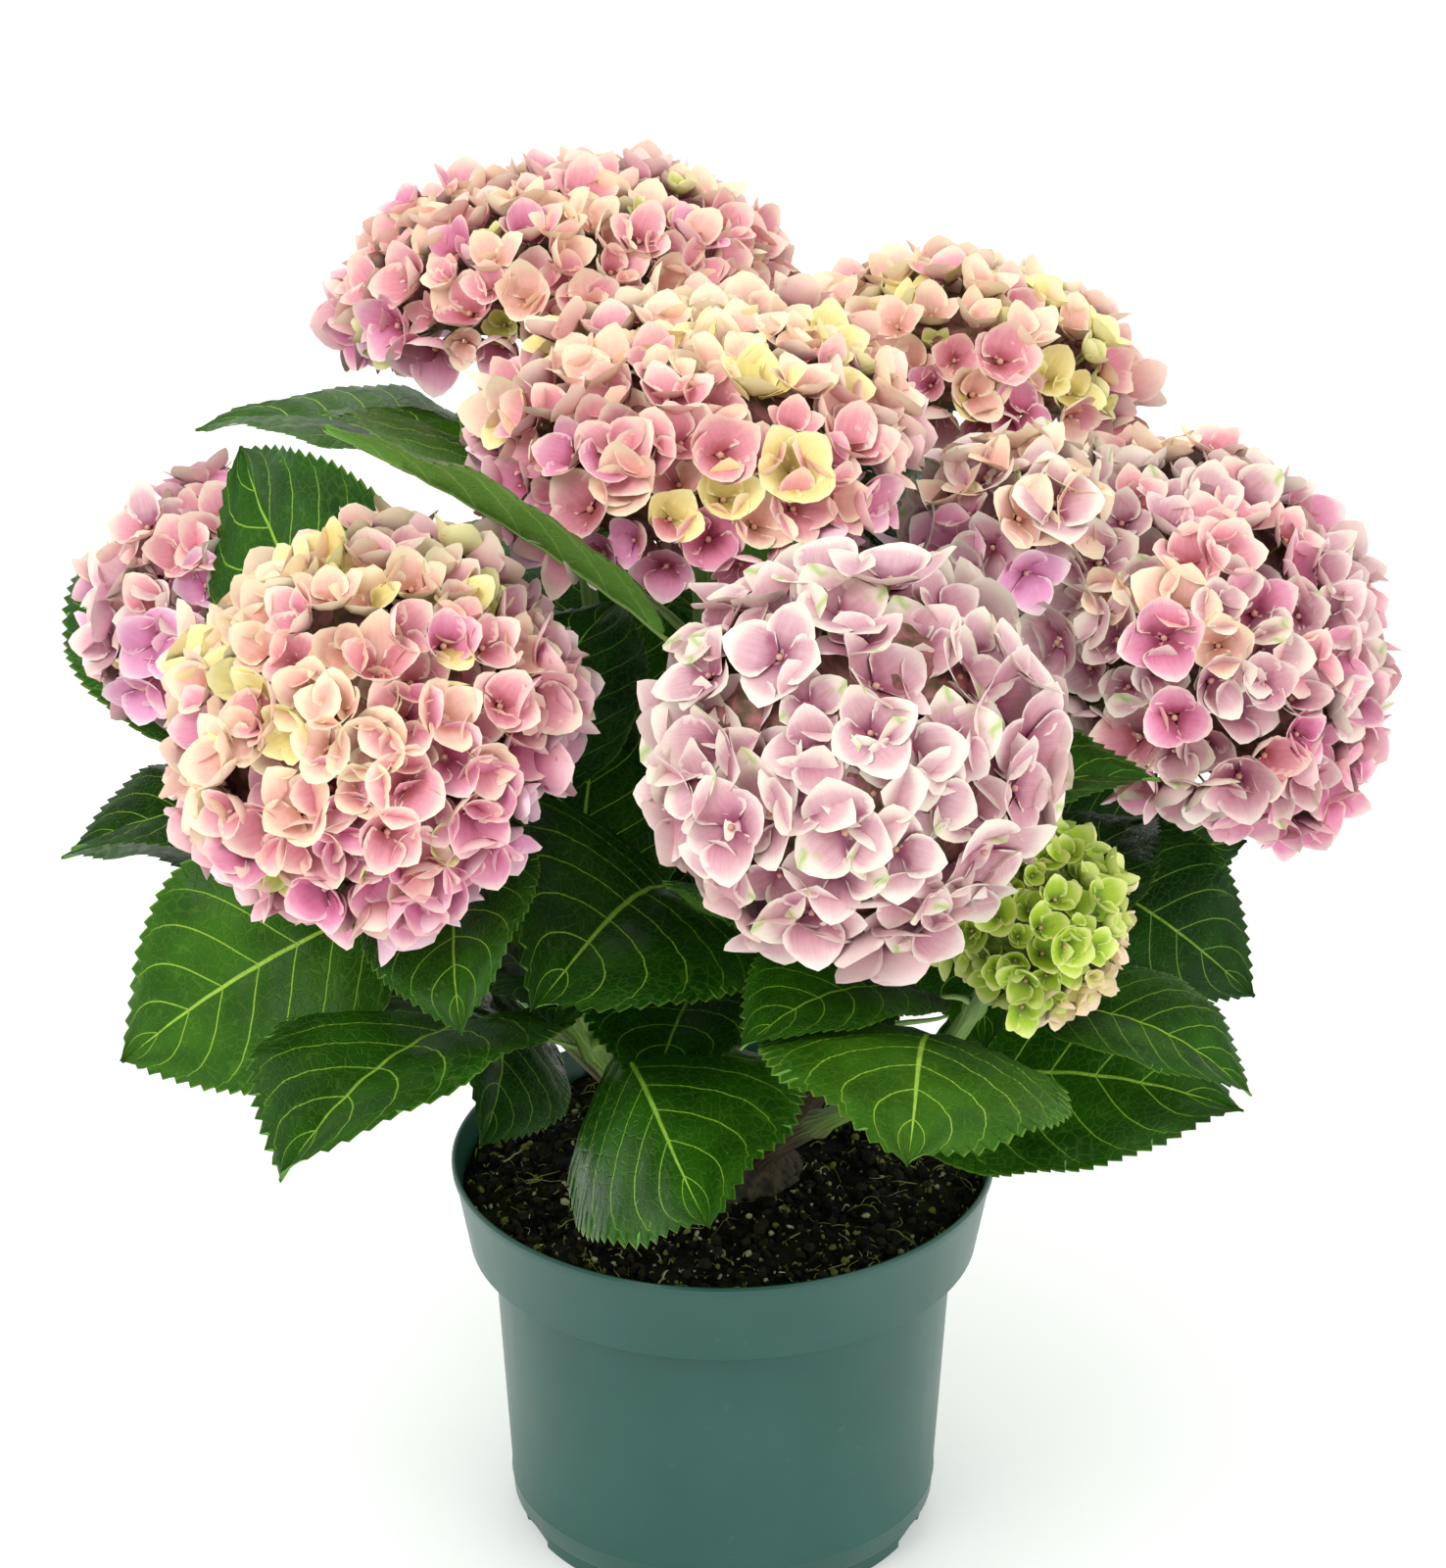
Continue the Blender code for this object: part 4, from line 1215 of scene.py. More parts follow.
# ("middle", 2) takes the deep green as painted shade, where the heads shade it, and ("front_left",
# 4) takes the fresh green as painted light and sheen, where it is strongly lit. The others set a
# lighter or darker green leaf by leaf.
CHOSEN_FINISHES = {("middle", 2): DEEP, ("front_left", 0): GREEN, ("front_left", 4): FRESH,
                   ("young", 0): GREEN, ("young", 1): FRESH, ("young", 4): GREEN,
                   ("back_left", 6): FRESH}

# %% [markdown]
# Each leaf hangs on a stalk that leaves the stem steeply and bends out to the blade, and the
# stalk runs on under the blade as its midrib.

# %% Stalks and midribs
STALK_SIDES = 8
STALK_STEPS = 9
STALK_SHARES = (1.6, 0.95)
STALK_RADIUS = 0.0017
MIDRIB_STEPS = 18
MIDRIB_SHARE = 0.90
MIDRIB_DROP = 0.0006
MIDRIB_RADII = (0.00062, 0.00020)
USUAL_LENGTH = 0.12
KNEE_RISE = Vector((0.0, 0.0, 0.6))
KNEE_SHARE = 0.30


def midrib_of(corners, normal, length):
    """Points just under the middle line of a blade."""
    front = corners[:LEAF_ROWS * LEAF_COLUMNS].reshape(LEAF_ROWS, LEAF_COLUMNS, 3)
    picks = np.linspace(0, LEAF_ROWS * MIDRIB_SHARE, MIDRIB_STEPS).astype(int)
    return front[picks, LEAF_COLUMNS // 2] - normal * MIDRIB_DROP * length / USUAL_LENGTH


def add_leaf_stalk(heap, node, base, rib, length):
    """A tube from the stem through a knee to the blade, and on along its midrib."""
    blade_way = rib[1] - rib[0]
    blade_way /= np.linalg.norm(blade_way)
    reach = np.linalg.norm(base - node)
    knee = node + ((base - node) / reach + np.array(KNEE_RISE)) * reach * KNEE_SHARE
    before = rib[0] - blade_way * reach * KNEE_SHARE
    line = interpolate_bezier(Vector(node), Vector(knee), Vector(before), Vector(rib[0]),
                              STALK_STEPS)
    points = np.concatenate((np.array(line)[:-1], rib))
    thick = [STALK_RADIUS * share for share in STALK_SHARES]
    radii = np.interp(np.arange(len(points)), (0, 2, STALK_STEPS, len(points) - 1),
                      (*thick, *MIDRIB_RADII)) * (length / USUAL_LENGTH)
    add_tube(heap, points, radii, STALK_SIDES, slot=len(LEAF_FINISHES),
             cell=(LEAF_CELLS ** 2 - 1, LEAF_CELLS))

# %% [markdown]
# One piece per stem holds its planned leaves and its extra ones.

# %% Leaves onto their stems
leaf_count = 0
for shoot in SHOOTS:
    foliage = Heap(f"foliage_{shoot.name}")
    leaves = [Placed(along, leaf, None) for along, leaf in leaves_of(shoot)]
    leaves += EXTRA_LEAVES.get(shoot.name, ())
    for index, (along, leaf, finish, base, droop) in enumerate(leaves):
        node = np.array(place_on(PATHS[shoot.name], along))
        if base is None:
            climb = direction(leaf.heading, leaf.rise + PETIOLE_LIFT)
            base = node + np.array(climb) * leaf.length * PETIOLE_SHARE
        if finish is None:
            finish = int(chance.choice(len(LEAF_FINISHES), p=FINISH_ODDS))
            finish = CHOSEN_FINISHES.get((shoot.name, index), finish)
        turn = leaf_turn(leaf)
        corners = leaf_blade(leaf, droop) @ turn.T + np.array(base)
        atlas = skin_atlas(LEAF_UV, finish, LEAF_CELLS)
        foliage.add(corners[None], LEAF_FACES, LEAF_UV, atlas, finish)
        rib = midrib_of(corners, turn[:, 2], leaf.length)
        add_leaf_stalk(foliage, node, base, rib, leaf.length)
    leaf_count += len(leaves)
    piece = foliage.build(LEAF_FINISHES + [stalk.material])
    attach(piece, "root")
    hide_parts(f"leaves_{shoot.name}")
print("leaves:", leaf_count)

# %% [markdown]
# ## The flower heads
#
# What looks like a petal is a sepal, and four of them make one sterile floret.  A floret opens
# first as a little bowl and flattens with age.  We shape one sepal as a round, slightly pointed
# sheet, and bend every copy its own way.

# %% One flat petal
PETAL_ROWS = 6
PETAL_COLUMNS = 5
PETAL_FACES, PETAL_UV = skin(PETAL_ROWS, PETAL_COLUMNS)
PETAL_CLAW = 0.58
CLAW_SHARE = 0.38
PETAL_POINT = 0.07


def petal_outline():
    """The square grid pressed into a round blade: across from +0.5 to -0.5, along from 0 to 1."""
    across, along = np.meshgrid(np.linspace(1.0, -1.0, PETAL_COLUMNS),
                                np.linspace(-1.0, 1.0, PETAL_ROWS))
    round_across = across * np.sqrt(1.0 - 0.5 * along ** 2)
    round_along = along * np.sqrt(1.0 - 0.5 * across ** 2) * 0.5 + 0.5
    rise = np.clip(round_along / CLAW_SHARE, 0.0, 1.0)
    claw = PETAL_CLAW + (1.0 - PETAL_CLAW) * rise * rise * (3.0 - 2.0 * rise)
    tip = PETAL_POINT * np.clip(along, 0.0, 1.0) ** 2 * (1.0 - abs(across)) ** 1.3
    return (round_across * claw * 0.5).ravel(), (round_along + tip).ravel()


ACROSS, ALONG = petal_outline()
print("petal:", len(ACROSS), "corners,", len(PETAL_FACES), "faces")

# %% [markdown]
# The petal's middle line is an arc: it leaves the bead at one angle and ends at another.  In a
# bowl the blade wraps round the floret's axis, as if cut from a cup, and it flattens out as the
# floret opens.  Two opposite petals lie outside and the other two inside, as in the bud.  All
# the petals of a head are bent together, one array row each.

# %% Bending a head's petals
Florets = namedtuple("Florets", "places turns sizes opening family")
BOWL_START, FLAT_START = math.radians(22.0), math.radians(5.0)
BOWL_END, FLAT_END = math.radians(84.0), math.radians(24.0)
PETAL_COUNTS, COUNT_ODDS = (3, 4, 5), (0.05, 0.88, 0.07)
PETAL_LENGTH, OPEN_LONGER = 0.0120, 0.10
PETAL_WIDTH, OPEN_WIDER = 0.0146, 0.03
PETAL_BODY = 0.0003
BEAD_GAP = 0.0008
FLAT_CURVE = 0.0230
BOWL_LEAST = 0.0022
LAYER = 0.00042
EDGE_TILT = 0.00022
WRAP_MOST = 1.6
RIPPLE, RIPPLE_RATE = 0.0014, 7.0
TIP_DROOP, OPEN_TIP_DROOP = 0.05, 0.12
CREASE, CREASE_WIDTH = 0.0003, 0.08
SIZE_SPREAD = 0.08

# %% [markdown]
# Each petal gets its own azimuth, opening, length, width and bend.  The back of the sheet lies a
# little under the front, except at the rim that they share.

# %% All the petals of a head
def petal_points(florets):
    """Corners of every petal, petals x corners x 3, and the floret that each belongs to."""
    counts = chance.choice(PETAL_COUNTS, len(florets.sizes), p=COUNT_ODDS)
    owner = np.repeat(np.arange(len(counts)), counts)
    order = np.concatenate([np.arange(count) for count in counts])

    def spread(amount):
        return chance.normal(0.0, amount, (len(owner), 1))

    spin = np.repeat(chance.random(len(counts)) * math.tau, counts)
    azimuth = (spin + order * math.tau / counts[owner])[:, None] + spread(0.10)
    opening = np.clip(florets.opening[owner][:, None] + spread(0.06), 0.0, 1.2)
    size = florets.sizes[owner][:, None]
    length = PETAL_LENGTH * size * (1.0 + OPEN_LONGER * opening) * (1.0 + spread(SIZE_SPREAD))
    width = PETAL_WIDTH * size * (1.0 + OPEN_WIDER * opening) * (1.0 + spread(SIZE_SPREAD))
    start = BOWL_START + (FLAT_START - BOWL_START) * opening + spread(0.05)
    end = BOWL_END + (FLAT_END - BOWL_END) * opening + spread(0.12)
    turn = np.maximum(end - start, 0.08)
    angle = start + turn * ALONG
    reach = BEAD_GAP * size + length / turn * (np.sin(angle) - np.sin(start))
    rise = -length / turn * (np.cos(angle) - np.cos(start))
    flat = np.clip(opening, 0.0, 1.0)
    bowl = np.maximum(reach, BOWL_LEAST * size)
    curve = (bowl + (FLAT_CURVE * size - bowl) * flat) * (1.0 + spread(0.06))
    wrap = np.clip(ACROSS * width / curve, -WRAP_MOST, WRAP_MOST)
    across = curve * np.sin(wrap)
    sag = curve * (1.0 - np.cos(wrap))
    lift = (LAYER * (order[:, None] % 2 * 2 - 1) + EDGE_TILT * wrap * spread(1.0)) * size
    lift = lift + np.sin(ALONG * RIPPLE_RATE + spread(3.0)) * abs(ACROSS) * RIPPLE * size
    lift = lift - length * (TIP_DROOP + OPEN_TIP_DROOP * opening) * np.maximum(ALONG, 0.0) ** 5
    crease = np.exp(-(ACROSS / CREASE_WIDTH) ** 2) * np.clip(1.2 - ALONG, 0.0, 1.0)
    lift = lift - CREASE * size * crease
    inward, upward = np.sin(angle), np.cos(angle)
    sag_in, sag_up = 1.0 + (inward - 1.0) * flat, upward * flat
    inner = np.arange(PETAL_ROWS * PETAL_COLUMNS).reshape(PETAL_ROWS, -1)[1:-1, 1:-1].ravel()
    under = lift - PETAL_BODY
    in_front = reach - sag_in * sag
    up_front = rise + sag_up * sag
    reach = np.concatenate((in_front - inward * lift, (in_front - inward * under)[:, inner]), 1)
    rise = np.concatenate((up_front + upward * lift, (up_front + upward * under)[:, inner]), 1)
    across = np.concatenate((across, across[:, inner]), axis=1)
    cosine, sine = np.cos(azimuth), np.sin(azimuth)
    local = np.stack((reach * cosine - across * sine, reach * sine + across * cosine, rise), -1)
    turned = np.einsum("pij,pkj->pki", florets.turns[owner], local)
    return turned + florets.places[owner][:, None], owner

# %% [markdown]
# Florets sit evenly over the dome but never in rows.  The farthest-point rule gives that: from
# thousands of random places on the dome, the next floret always takes the one farthest from
# all the florets so far, until no gap is wider than the spacing.

# %% Places over a dome
CANDIDATES = 5000


def dome_frame(bloom):
    """Rotation whose third column is the head's axis."""
    return np.array(axis_of(bloom).to_track_quat("Z", "Y").to_matrix())


def dome_stretch(bloom, height, low=UNDERSIDE):
    """How far a unit sphere stretches along x, y and the axis; low is the underside's share."""
    stretch = np.where(height < 0.0, bloom.dome * low, bloom.dome)
    return np.stack((np.ones(len(height)), np.ones(len(height)), stretch), axis=-1)


def dome_places(bloom, spread, spacing):
    """Evenly spaced places on the envelope and the outward normals there, in world axes."""
    lowest = math.cos(math.radians(spread))
    height = lowest + (1.0 - lowest) * chance.random(CANDIDATES)
    turn = chance.random(CANDIDATES) * math.tau
    ring = np.sqrt(1.0 - height ** 2)
    way = np.stack((ring * np.cos(turn), ring * np.sin(turn), height), axis=-1)
    size = dome_stretch(bloom, height) * bloom.radius
    spots, normals = way * size, unit(way / size)
    chosen, distance = [0], np.full(CANDIDATES, np.inf)
    while True:
        distance = np.minimum(distance, np.linalg.norm(spots - spots[chosen[-1]], axis=1))
        farthest = int(np.argmax(distance))
        if distance[farthest] < spacing:
            break
        chosen.append(farthest)
    frame = dome_frame(bloom)
    return spots[chosen] @ frame.T + np.array(bloom.centre), normals[chosen] @ frame.T

# %% [markdown]
# No floret points straight out.  Each is leant a little, and turned about its own axis.

# %% Leaning florets
def tilted(normals, amount):
    """Normals leant by random angles, and for each a full rotation with it as third column."""
    leant = unit(normals + chance.normal(0.0, amount, normals.shape))
    first = unit(np.cross(chance.normal(size=normals.shape), leant))
    return np.stack((first, np.cross(leant, first), leant), axis=-1)

# %% [markdown]
# A petal's colour runs from its throat through the field to the rim, and its underside is paler.
# The throat's dark colour is partly the petal's own deeper pink and partly painted shade, where
# shade falls at the bottom of a cupped floret.
# Each colour family is one material.

# %% Petal colours
FAMILY_GRID = 6
Family = namedtuple("Family", "throat field outer rim width blotch", defaults=(None,))
FAMILIES = {
    "rose": Family((0.33, 0.050, 0.105), (0.73, 0.250, 0.400), (0.87, 0.45, 0.58),
                   (0.98, 0.76, 0.70), 0.09),
    "deep_rose": Family((0.24, 0.030, 0.075), (0.61, 0.150, 0.295), (0.81, 0.33, 0.49),
                        (0.95, 0.66, 0.65), 0.08),
    "peach": Family((0.40, 0.085, 0.10), (0.78, 0.33, 0.40), (0.92, 0.57, 0.55),
                    (0.97, 0.80, 0.65), 0.13),
    "cream": Family((0.60, 0.26, 0.18), (0.88, 0.55, 0.47), (0.95, 0.75, 0.56),
                    (0.98, 0.87, 0.63), 0.18),
    "yellow": Family((0.55, 0.42, 0.12), (0.88, 0.76, 0.31), (0.96, 0.89, 0.42),
                     (0.98, 0.95, 0.53), 0.16),
    "light_pink": Family((0.54, 0.14, 0.30), (0.85, 0.37, 0.60), (0.93, 0.55, 0.72),
                         (0.98, 0.78, 0.80), 0.10),
    "lilac": Family((0.28, 0.055, 0.115), (0.62, 0.305, 0.365), (0.75, 0.515, 0.525),
                    (0.87, 0.74, 0.67), 0.12),
    "lilac_pale": Family((0.33, 0.085, 0.15), (0.69, 0.415, 0.46), (0.82, 0.650, 0.61),
                         (0.89, 0.83, 0.70), 0.16),
    "lilac_tip": Family((0.31, 0.078, 0.14), (0.67, 0.395, 0.43), (0.80, 0.62, 0.58),
                        (0.89, 0.82, 0.67), 0.16, (0.36, 0.56, 0.10)),
    "lime": Family((0.17, 0.28, 0.015), (0.42, 0.60, 0.045), (0.60, 0.76, 0.12),
                   (0.82, 0.88, 0.34), 0.15),
    "lime_cream": Family((0.40, 0.42, 0.08), (0.72, 0.70, 0.24), (0.88, 0.80, 0.45),
                         (0.94, 0.76, 0.56), 0.22),
    "bud": Family((0.30, 0.33, 0.05), (0.58, 0.60, 0.15), (0.76, 0.76, 0.32),
                  (0.90, 0.86, 0.50), 0.16),
}

# %% [markdown]
# A petal's finish mixes those four colours by how far out a place is.  A noise breaks up the
# edges, and one family has a green blotch near the tip.

# %% Petal finishes
def petal_finish(name, family):
    """A petal's skin in one colour family."""
    finish = Finish(f"petal_{name}", roughness=0.55, Specular_IOR_Level=0.30)
    x, y, side, back = finish.two_sides()
    cloud = finish.noise(finish.vector(x * 2.2, y * 2.2, len(name) * 1.7), 1.0, detail=2.0) - 0.5
    streak = finish.noise(finish.vector(x * 19.0 - 9.5, y * 1.5), 1.0, detail=1.0)
    far = y + cloud * 0.5
    edge = side.math("MAXIMUM", y) + cloud * 0.22
    # The throat colour is partly painted shade: it darkens the bottom of each cup.
    colour = finish.mix(far.step(0.04, 0.52), family.throat, family.field)
    colour = finish.mix(far.step(0.42, 1.02), colour, family.outer)
    colour = finish.mix(streak.step(0.45, 0.75) * 0.22, colour, family.throat)
    colour = finish.mix(edge.step(0.98 - family.width * 2.0, 1.02), colour, family.rim)
    crisp = side.math("MAXIMUM", y).step(0.950, 0.990)
    colour = finish.mix(crisp * (cloud * 1.6 + 0.55), colour, family.rim)
    if family.blotch:
        spot = (x - 0.5) ** 2.0 * 5.0 + (y - 0.86) ** 2.0 * 8.0
        colour = finish.mix((spot + cloud * 1.8).step(0.42, 0.02) * 0.85, colour, family.blotch)
    pale = finish.mix(far.step(0.10, 0.80), family.outer, family.rim)
    colour = finish.mix(back * 0.50, colour, pale)
    finish.feed(colour=colour)
    return finish.material


bead = Finish("bead", roughness=0.4, Base_Color=(0.66, 0.36, 0.27, 1.0))
FAMILY_NAMES = list(FAMILIES)
FLOWER_FINISHES = [petal_finish(name, FAMILIES[name]) for name in FAMILY_NAMES] + [bead.material]
BEAD_SLOT = len(FAMILIES)
PETAL_ATLAS = np.stack([skin_atlas(PETAL_UV, index, FAMILY_GRID)
                        for index in range(len(FAMILIES))])
BEAD_ATLAS = atlas_cell(BALL_UV, np.array(FAMILY_GRID ** 2 - 1), FAMILY_GRID)
print("petal colours:", len(FAMILIES))

# %% [markdown]
# No two heads are the same.  A head's look gives its spacing and floret size, how far the
# florets have opened, the side that the light has bleached to cream, and its mixture: each
# colour with its weight and where it sits, from -1 on the far side to 1 on the bleached side.
# Then come the share of buds and, on some heads, a colour that turns up on single petals.  The
# right head also carries a small spray at its side.

# %% The look of each head
Look = namedtuple("Look", "spread spacing size opening depth pale_way mixture buds strays",
                  defaults=(None,))
LOOKS = {
    "front_left": Look(122, 0.0112, 1.10, 0.03, 0.0137, (-0.45, -0.15, 0.88), (
        ("light_pink", 0.9, -0.75), ("deep_rose", 0.6, -0.45), ("rose", 1.6, -0.10),
        ("peach", 1.6, 0.30), ("cream", 1.1, 0.70), ("yellow", 0.35, 0.90)), 0.05),
    "middle": Look(95, 0.0111, 1.09, 0.06, 0.0101, (0.10, -0.10, 0.98), (
        ("deep_rose", 1.0, -0.50), ("light_pink", 1.2, -0.35), ("rose", 1.5, 0.05),
        ("peach", 1.6, 0.45), ("cream", 0.9, 0.80), ("yellow", 0.28, 0.95)), 0.05),
    "back_left": Look(110, 0.0110, 1.04, 0.02, 0.0092, (0.10, -0.45, 0.88), (
        ("deep_rose", 0.9, -0.40), ("light_pink", 0.5, -0.50), ("rose", 1.8, 0.15),
        ("peach", 2.1, 0.50), ("cream", 1.0, 0.80)), 0.04),
    "back_right": Look(110, 0.0109, 1.04, 0.04, 0.0092, (0.40, -0.40, 0.82), (
        ("deep_rose", 0.5, -0.55), ("light_pink", 0.5, -0.30), ("rose", 1.2, -0.05),
        ("peach", 1.9, 0.35), ("cream", 1.5, 0.65), ("yellow", 0.3, 0.90)), 0.04),
    "right": Look(116, 0.0113, 1.07, 0.16, 0.0100, (-0.55, -0.10, 0.80), (
        ("deep_rose", 0.9, -0.50), ("rose", 1.5, -0.10), ("lilac", 1.5, 0.10),
        ("peach", 0.9, 0.25), ("lilac_pale", 1.1, 0.50), ("cream", 0.5, 0.75)), 0.02,
        ("lilac_tip", 0.07)),
    "far_left": Look(118, 0.0112, 1.03, 0.26, 0.0090, (-0.20, -0.20, 0.90), (
        ("light_pink", 2.0, 0.10), ("rose", 0.4, -0.40), ("peach", 0.9, 0.40),
        ("lilac_pale", 0.7, 0.40)), 0.02),
    "front_right": Look(114, 0.0149, 1.20, 0.50, 0.0218, (-0.20, -0.55, 0.60), (
        ("lilac", 1.9, 0.25), ("lilac_pale", 1.5, 0.55), ("cream", 0.10, 0.50)), 0.02,
        ("lilac_tip", 0.22)),
    "young": Look(118, 0.0070, 0.66, 0.02, 0.0056, (-0.60, 0.10, 0.70), (
        ("lime", 3.0, 0.20), ("lime_cream", 0.7, -0.90)), 0.10),
    "back": Look(112, 0.0115, 1.02, 0.08, 0.0090, (0.00, 0.20, 0.95), (
        ("deep_rose", 0.8, -0.60), ("rose", 1.5, -0.10), ("light_pink", 0.5, -0.40),
        ("peach", 1.5, 0.35), ("cream", 0.7, 0.85)), 0.04),
}
SPRAYS = {"right": (Bloom((0.091, -0.049, 0.399), 0.033, 0.66, 25, -160), Look(
    100, 0.0124, 1.10, 0.44, 0.0090, (0.00, 0.00, 1.00), (
        ("lilac_pale", 1.8, 0.40), ("light_pink", 0.6, -0.20), ("cream", 0.4, 0.80),
        ("lilac_tip", 0.7, 0.50)), 0.02))}

# %% [markdown]
# The places, leans, sizes and colours of a head's florets are dealt together.  Buds are small
# and closed, and wider open florets stand a little higher.

# %% Florets of a head
FACING_SPREAD = 0.16
COLOUR_REACH = 0.42
FLORET_TILT = 0.24
FLORET_SIZES = (0.12, 0.74, 1.22)
OPENING_SPREAD = 0.11
BUD_SIZE = 0.62
GROWN_SIZE = 0.8
OPEN_LIFT = 0.4
DEPTH_SPREAD = 0.0029


def deal_colours(normals, look):
    """A colour family for each floret, by how far it faces the pale side."""
    pale = np.array(look.pale_way) / np.linalg.norm(look.pale_way)
    facing = normals @ pale + chance.normal(0.0, FACING_SPREAD, len(normals))
    names, weights, centres = zip(*look.mixture)
    away = (facing[:, None] - np.array(centres)) / COLOUR_REACH
    odds = np.array(weights) * np.exp(-away ** 2)
    odds = np.cumsum(odds / odds.sum(axis=1, keepdims=True), axis=1)
    picks = (chance.random((len(normals), 1)) > odds).sum(axis=1).clip(0, len(names) - 1)
    return np.array([FAMILY_NAMES.index(name) for name in names])[picks]


def scatter(bloom, look):
    """Florets over one dome: base, rotation, size, opening and colour family."""
    spots, normals = dome_places(bloom, look.spread, look.spacing)
    count = len(spots)
    turns = tilted(normals, FLORET_TILT)
    spread, least, most = FLORET_SIZES
    sizes = look.size * (1.0 + spread * chance.normal(size=count)).clip(least, most)
    opening = look.opening + OPENING_SPREAD * abs(chance.normal(size=count))
    family = deal_colours(normals, look)
    buds = chance.random(count) < look.buds
    sizes[buds] *= BUD_SIZE
    opening[buds] = 0.0
    if look.size > GROWN_SIZE:
        family[buds] = FAMILY_NAMES.index("bud")
    depth = look.depth * (1.0 - OPEN_LIFT * opening.clip(0, 1))
    depth = depth + chance.normal(0.0, DEPTH_SPREAD, count)
    return Florets(spots - normals * depth[:, None], turns, sizes, opening, family)


def florets_of(shoot):
    """Every floret of a head, with those of its side spray."""
    florets = scatter(shoot.bloom, LOOKS[shoot.name])
    if shoot.name in SPRAYS:
        spray = scatter(*SPRAYS[shoot.name])
        florets = Florets(*(np.concatenate(pair) for pair in zip(florets, spray)))
    return florets

# %% [markdown]
# Under the florets a peduncle forks into rays, and each ray into the thin stalks that carry the
# florets.  They show wherever a head is seen from below.

# %% Rays and floret stalks
FORK_SPREAD = 100.0
RAY_SHARE = 0.52
RAY_RADIUS, RAY_END = 0.0016, 0.0009
STALKLET_RADIUS = 0.00052
STALKLET_DROP = 0.010
FORK_DEPTH = 0.25
NECK_SINK, HUB_RUN, HUB_TOP = 0.004, 0.006, 0.003
KNEE_RUN, KNEE_LEAN = 0.016, 0.45
stalks = Heap("flower_stalks")


def add_stalk(start, bend, end, radii, sides, steps):
    """A thin curved stalk from start to end that sets off towards bend."""
    line = interpolate_bezier(Vector(start), Vector(bend), Vector((bend + end) / 2.0),
                              Vector(end), steps)
    add_tube(stalks, line, np.linspace(*radii, steps), sides)

# %% [markdown]
# Every floret's stalk starts at the nearest fork.

# %% One head's rays
def add_rays(bloom, florets):
    """The neck, its rays, and a stalk from the nearest fork to each floret."""
    axis = np.array(axis_of(bloom))
    neck = np.array(neck_of(bloom))
    scale = min(1.0, bloom.radius / 0.07)
    forks, _ = dome_places(bloom, FORK_SPREAD, bloom.radius * 0.75)
    centre = np.array(bloom.centre) - axis * bloom.radius * bloom.dome * FORK_DEPTH
    forks = centre + (forks - centre) * RAY_SHARE
    hub = neck + axis * HUB_RUN * scale
    add_tube(stalks, [neck - axis * NECK_SINK, neck, hub + axis * HUB_TOP],
             (NECK_RADIUS, NECK_RADIUS, NECK_RADIUS * 1.1), 12)
    for fork in forks:
        way = (fork - hub) / np.linalg.norm(fork - hub)
        knee = hub + (axis * (1.0 - KNEE_LEAN) + way * KNEE_LEAN) * KNEE_RUN
        add_stalk(hub, knee, fork, (RAY_RADIUS * scale, RAY_END * scale), 7, 7)
    for place, turn, size in zip(florets.places, florets.turns, florets.sizes):
        fork = forks[np.argmin(np.linalg.norm(forks - place, axis=1))]
        below = place - turn[:, 2] * STALKLET_DROP * size
        add_stalk(fork, (fork + below) / 2.0, place, (STALKLET_RADIUS, STALKLET_RADIUS), 4, 3)

# %% [markdown]
# Between the stalks sits a mass of tiny fertile buds that never show a petal.  It closes the
# head, so that no daylight comes through.  A fine icosphere, squeezed to the dome and knobbled
# with noise, is enough for something seen only in the gaps.  Its dark browns, pinks and greens
# are partly the buds' own colour and partly painted shade for the deep gaps between florets.

# %% The bud mass
MASS_SHARE = 0.72
MASS_KNOBS = 0.0022
MASS_CELL = 0.0042
MASS_LOW = 0.3
MASS, MASS_FACES = icosphere(5)
MASS_PLAN = np.stack((np.arctan2(MASS[:, 1], MASS[:, 0]) / math.tau + 0.5,
                      MASS[:, 2] * 0.5 + 0.5), axis=-1)
MASS_UV = MASS_PLAN[MASS_FACES]
MASS_CELLS = {"pink": FAMILY_GRID ** 2 - 2, "lime": FAMILY_GRID ** 2 - 3}
MASS_SLOTS = {"pink": len(FLOWER_FINISHES), "lime": len(FLOWER_FINISHES) + 1}


def mass_finish(name, low, high):
    buds = Finish(f"bud_mass_{name}", roughness=0.7)
    x, y = buds.shape()
    cloud = buds.noise(buds.vector(x * 40.0, y * 24.0), 1.0, detail=2.0)
    colour = buds.mix(cloud.step(0.35, 0.65), low, high)
    buds.feed(colour=buds.mix(y.step(0.52, 0.38) * 0.75, colour, (0.170, 0.240, 0.060)))
    return buds.material


# The dark low colours of both masses are partly painted shade for the gaps between florets.
FLOWER_FINISHES.append(mass_finish("pink", (0.120, 0.080, 0.035), (0.400, 0.150, 0.150)))
FLOWER_FINISHES.append(mass_finish("lime", (0.070, 0.120, 0.012), (0.200, 0.300, 0.030)))


def bud_mass(bloom):
    """Corners of the knobbly inner dome."""
    frame = dome_frame(bloom)
    stretch = dome_stretch(bloom, MASS[:, 2], UNDERSIDE * MASS_LOW)
    shape = MASS * stretch * bloom.radius * MASS_SHARE
    knobs = [noise.noise(Vector(spot) / MASS_CELL) for spot in shape]
    shape = shape + MASS * np.array(knobs)[:, None] * MASS_KNOBS
    return shape @ frame.T + np.array(bloom.centre)

# %% [markdown]
# A head is one piece: its petals, its beads and its bud mass.  Now and then a single petal takes
# another colour than its floret.

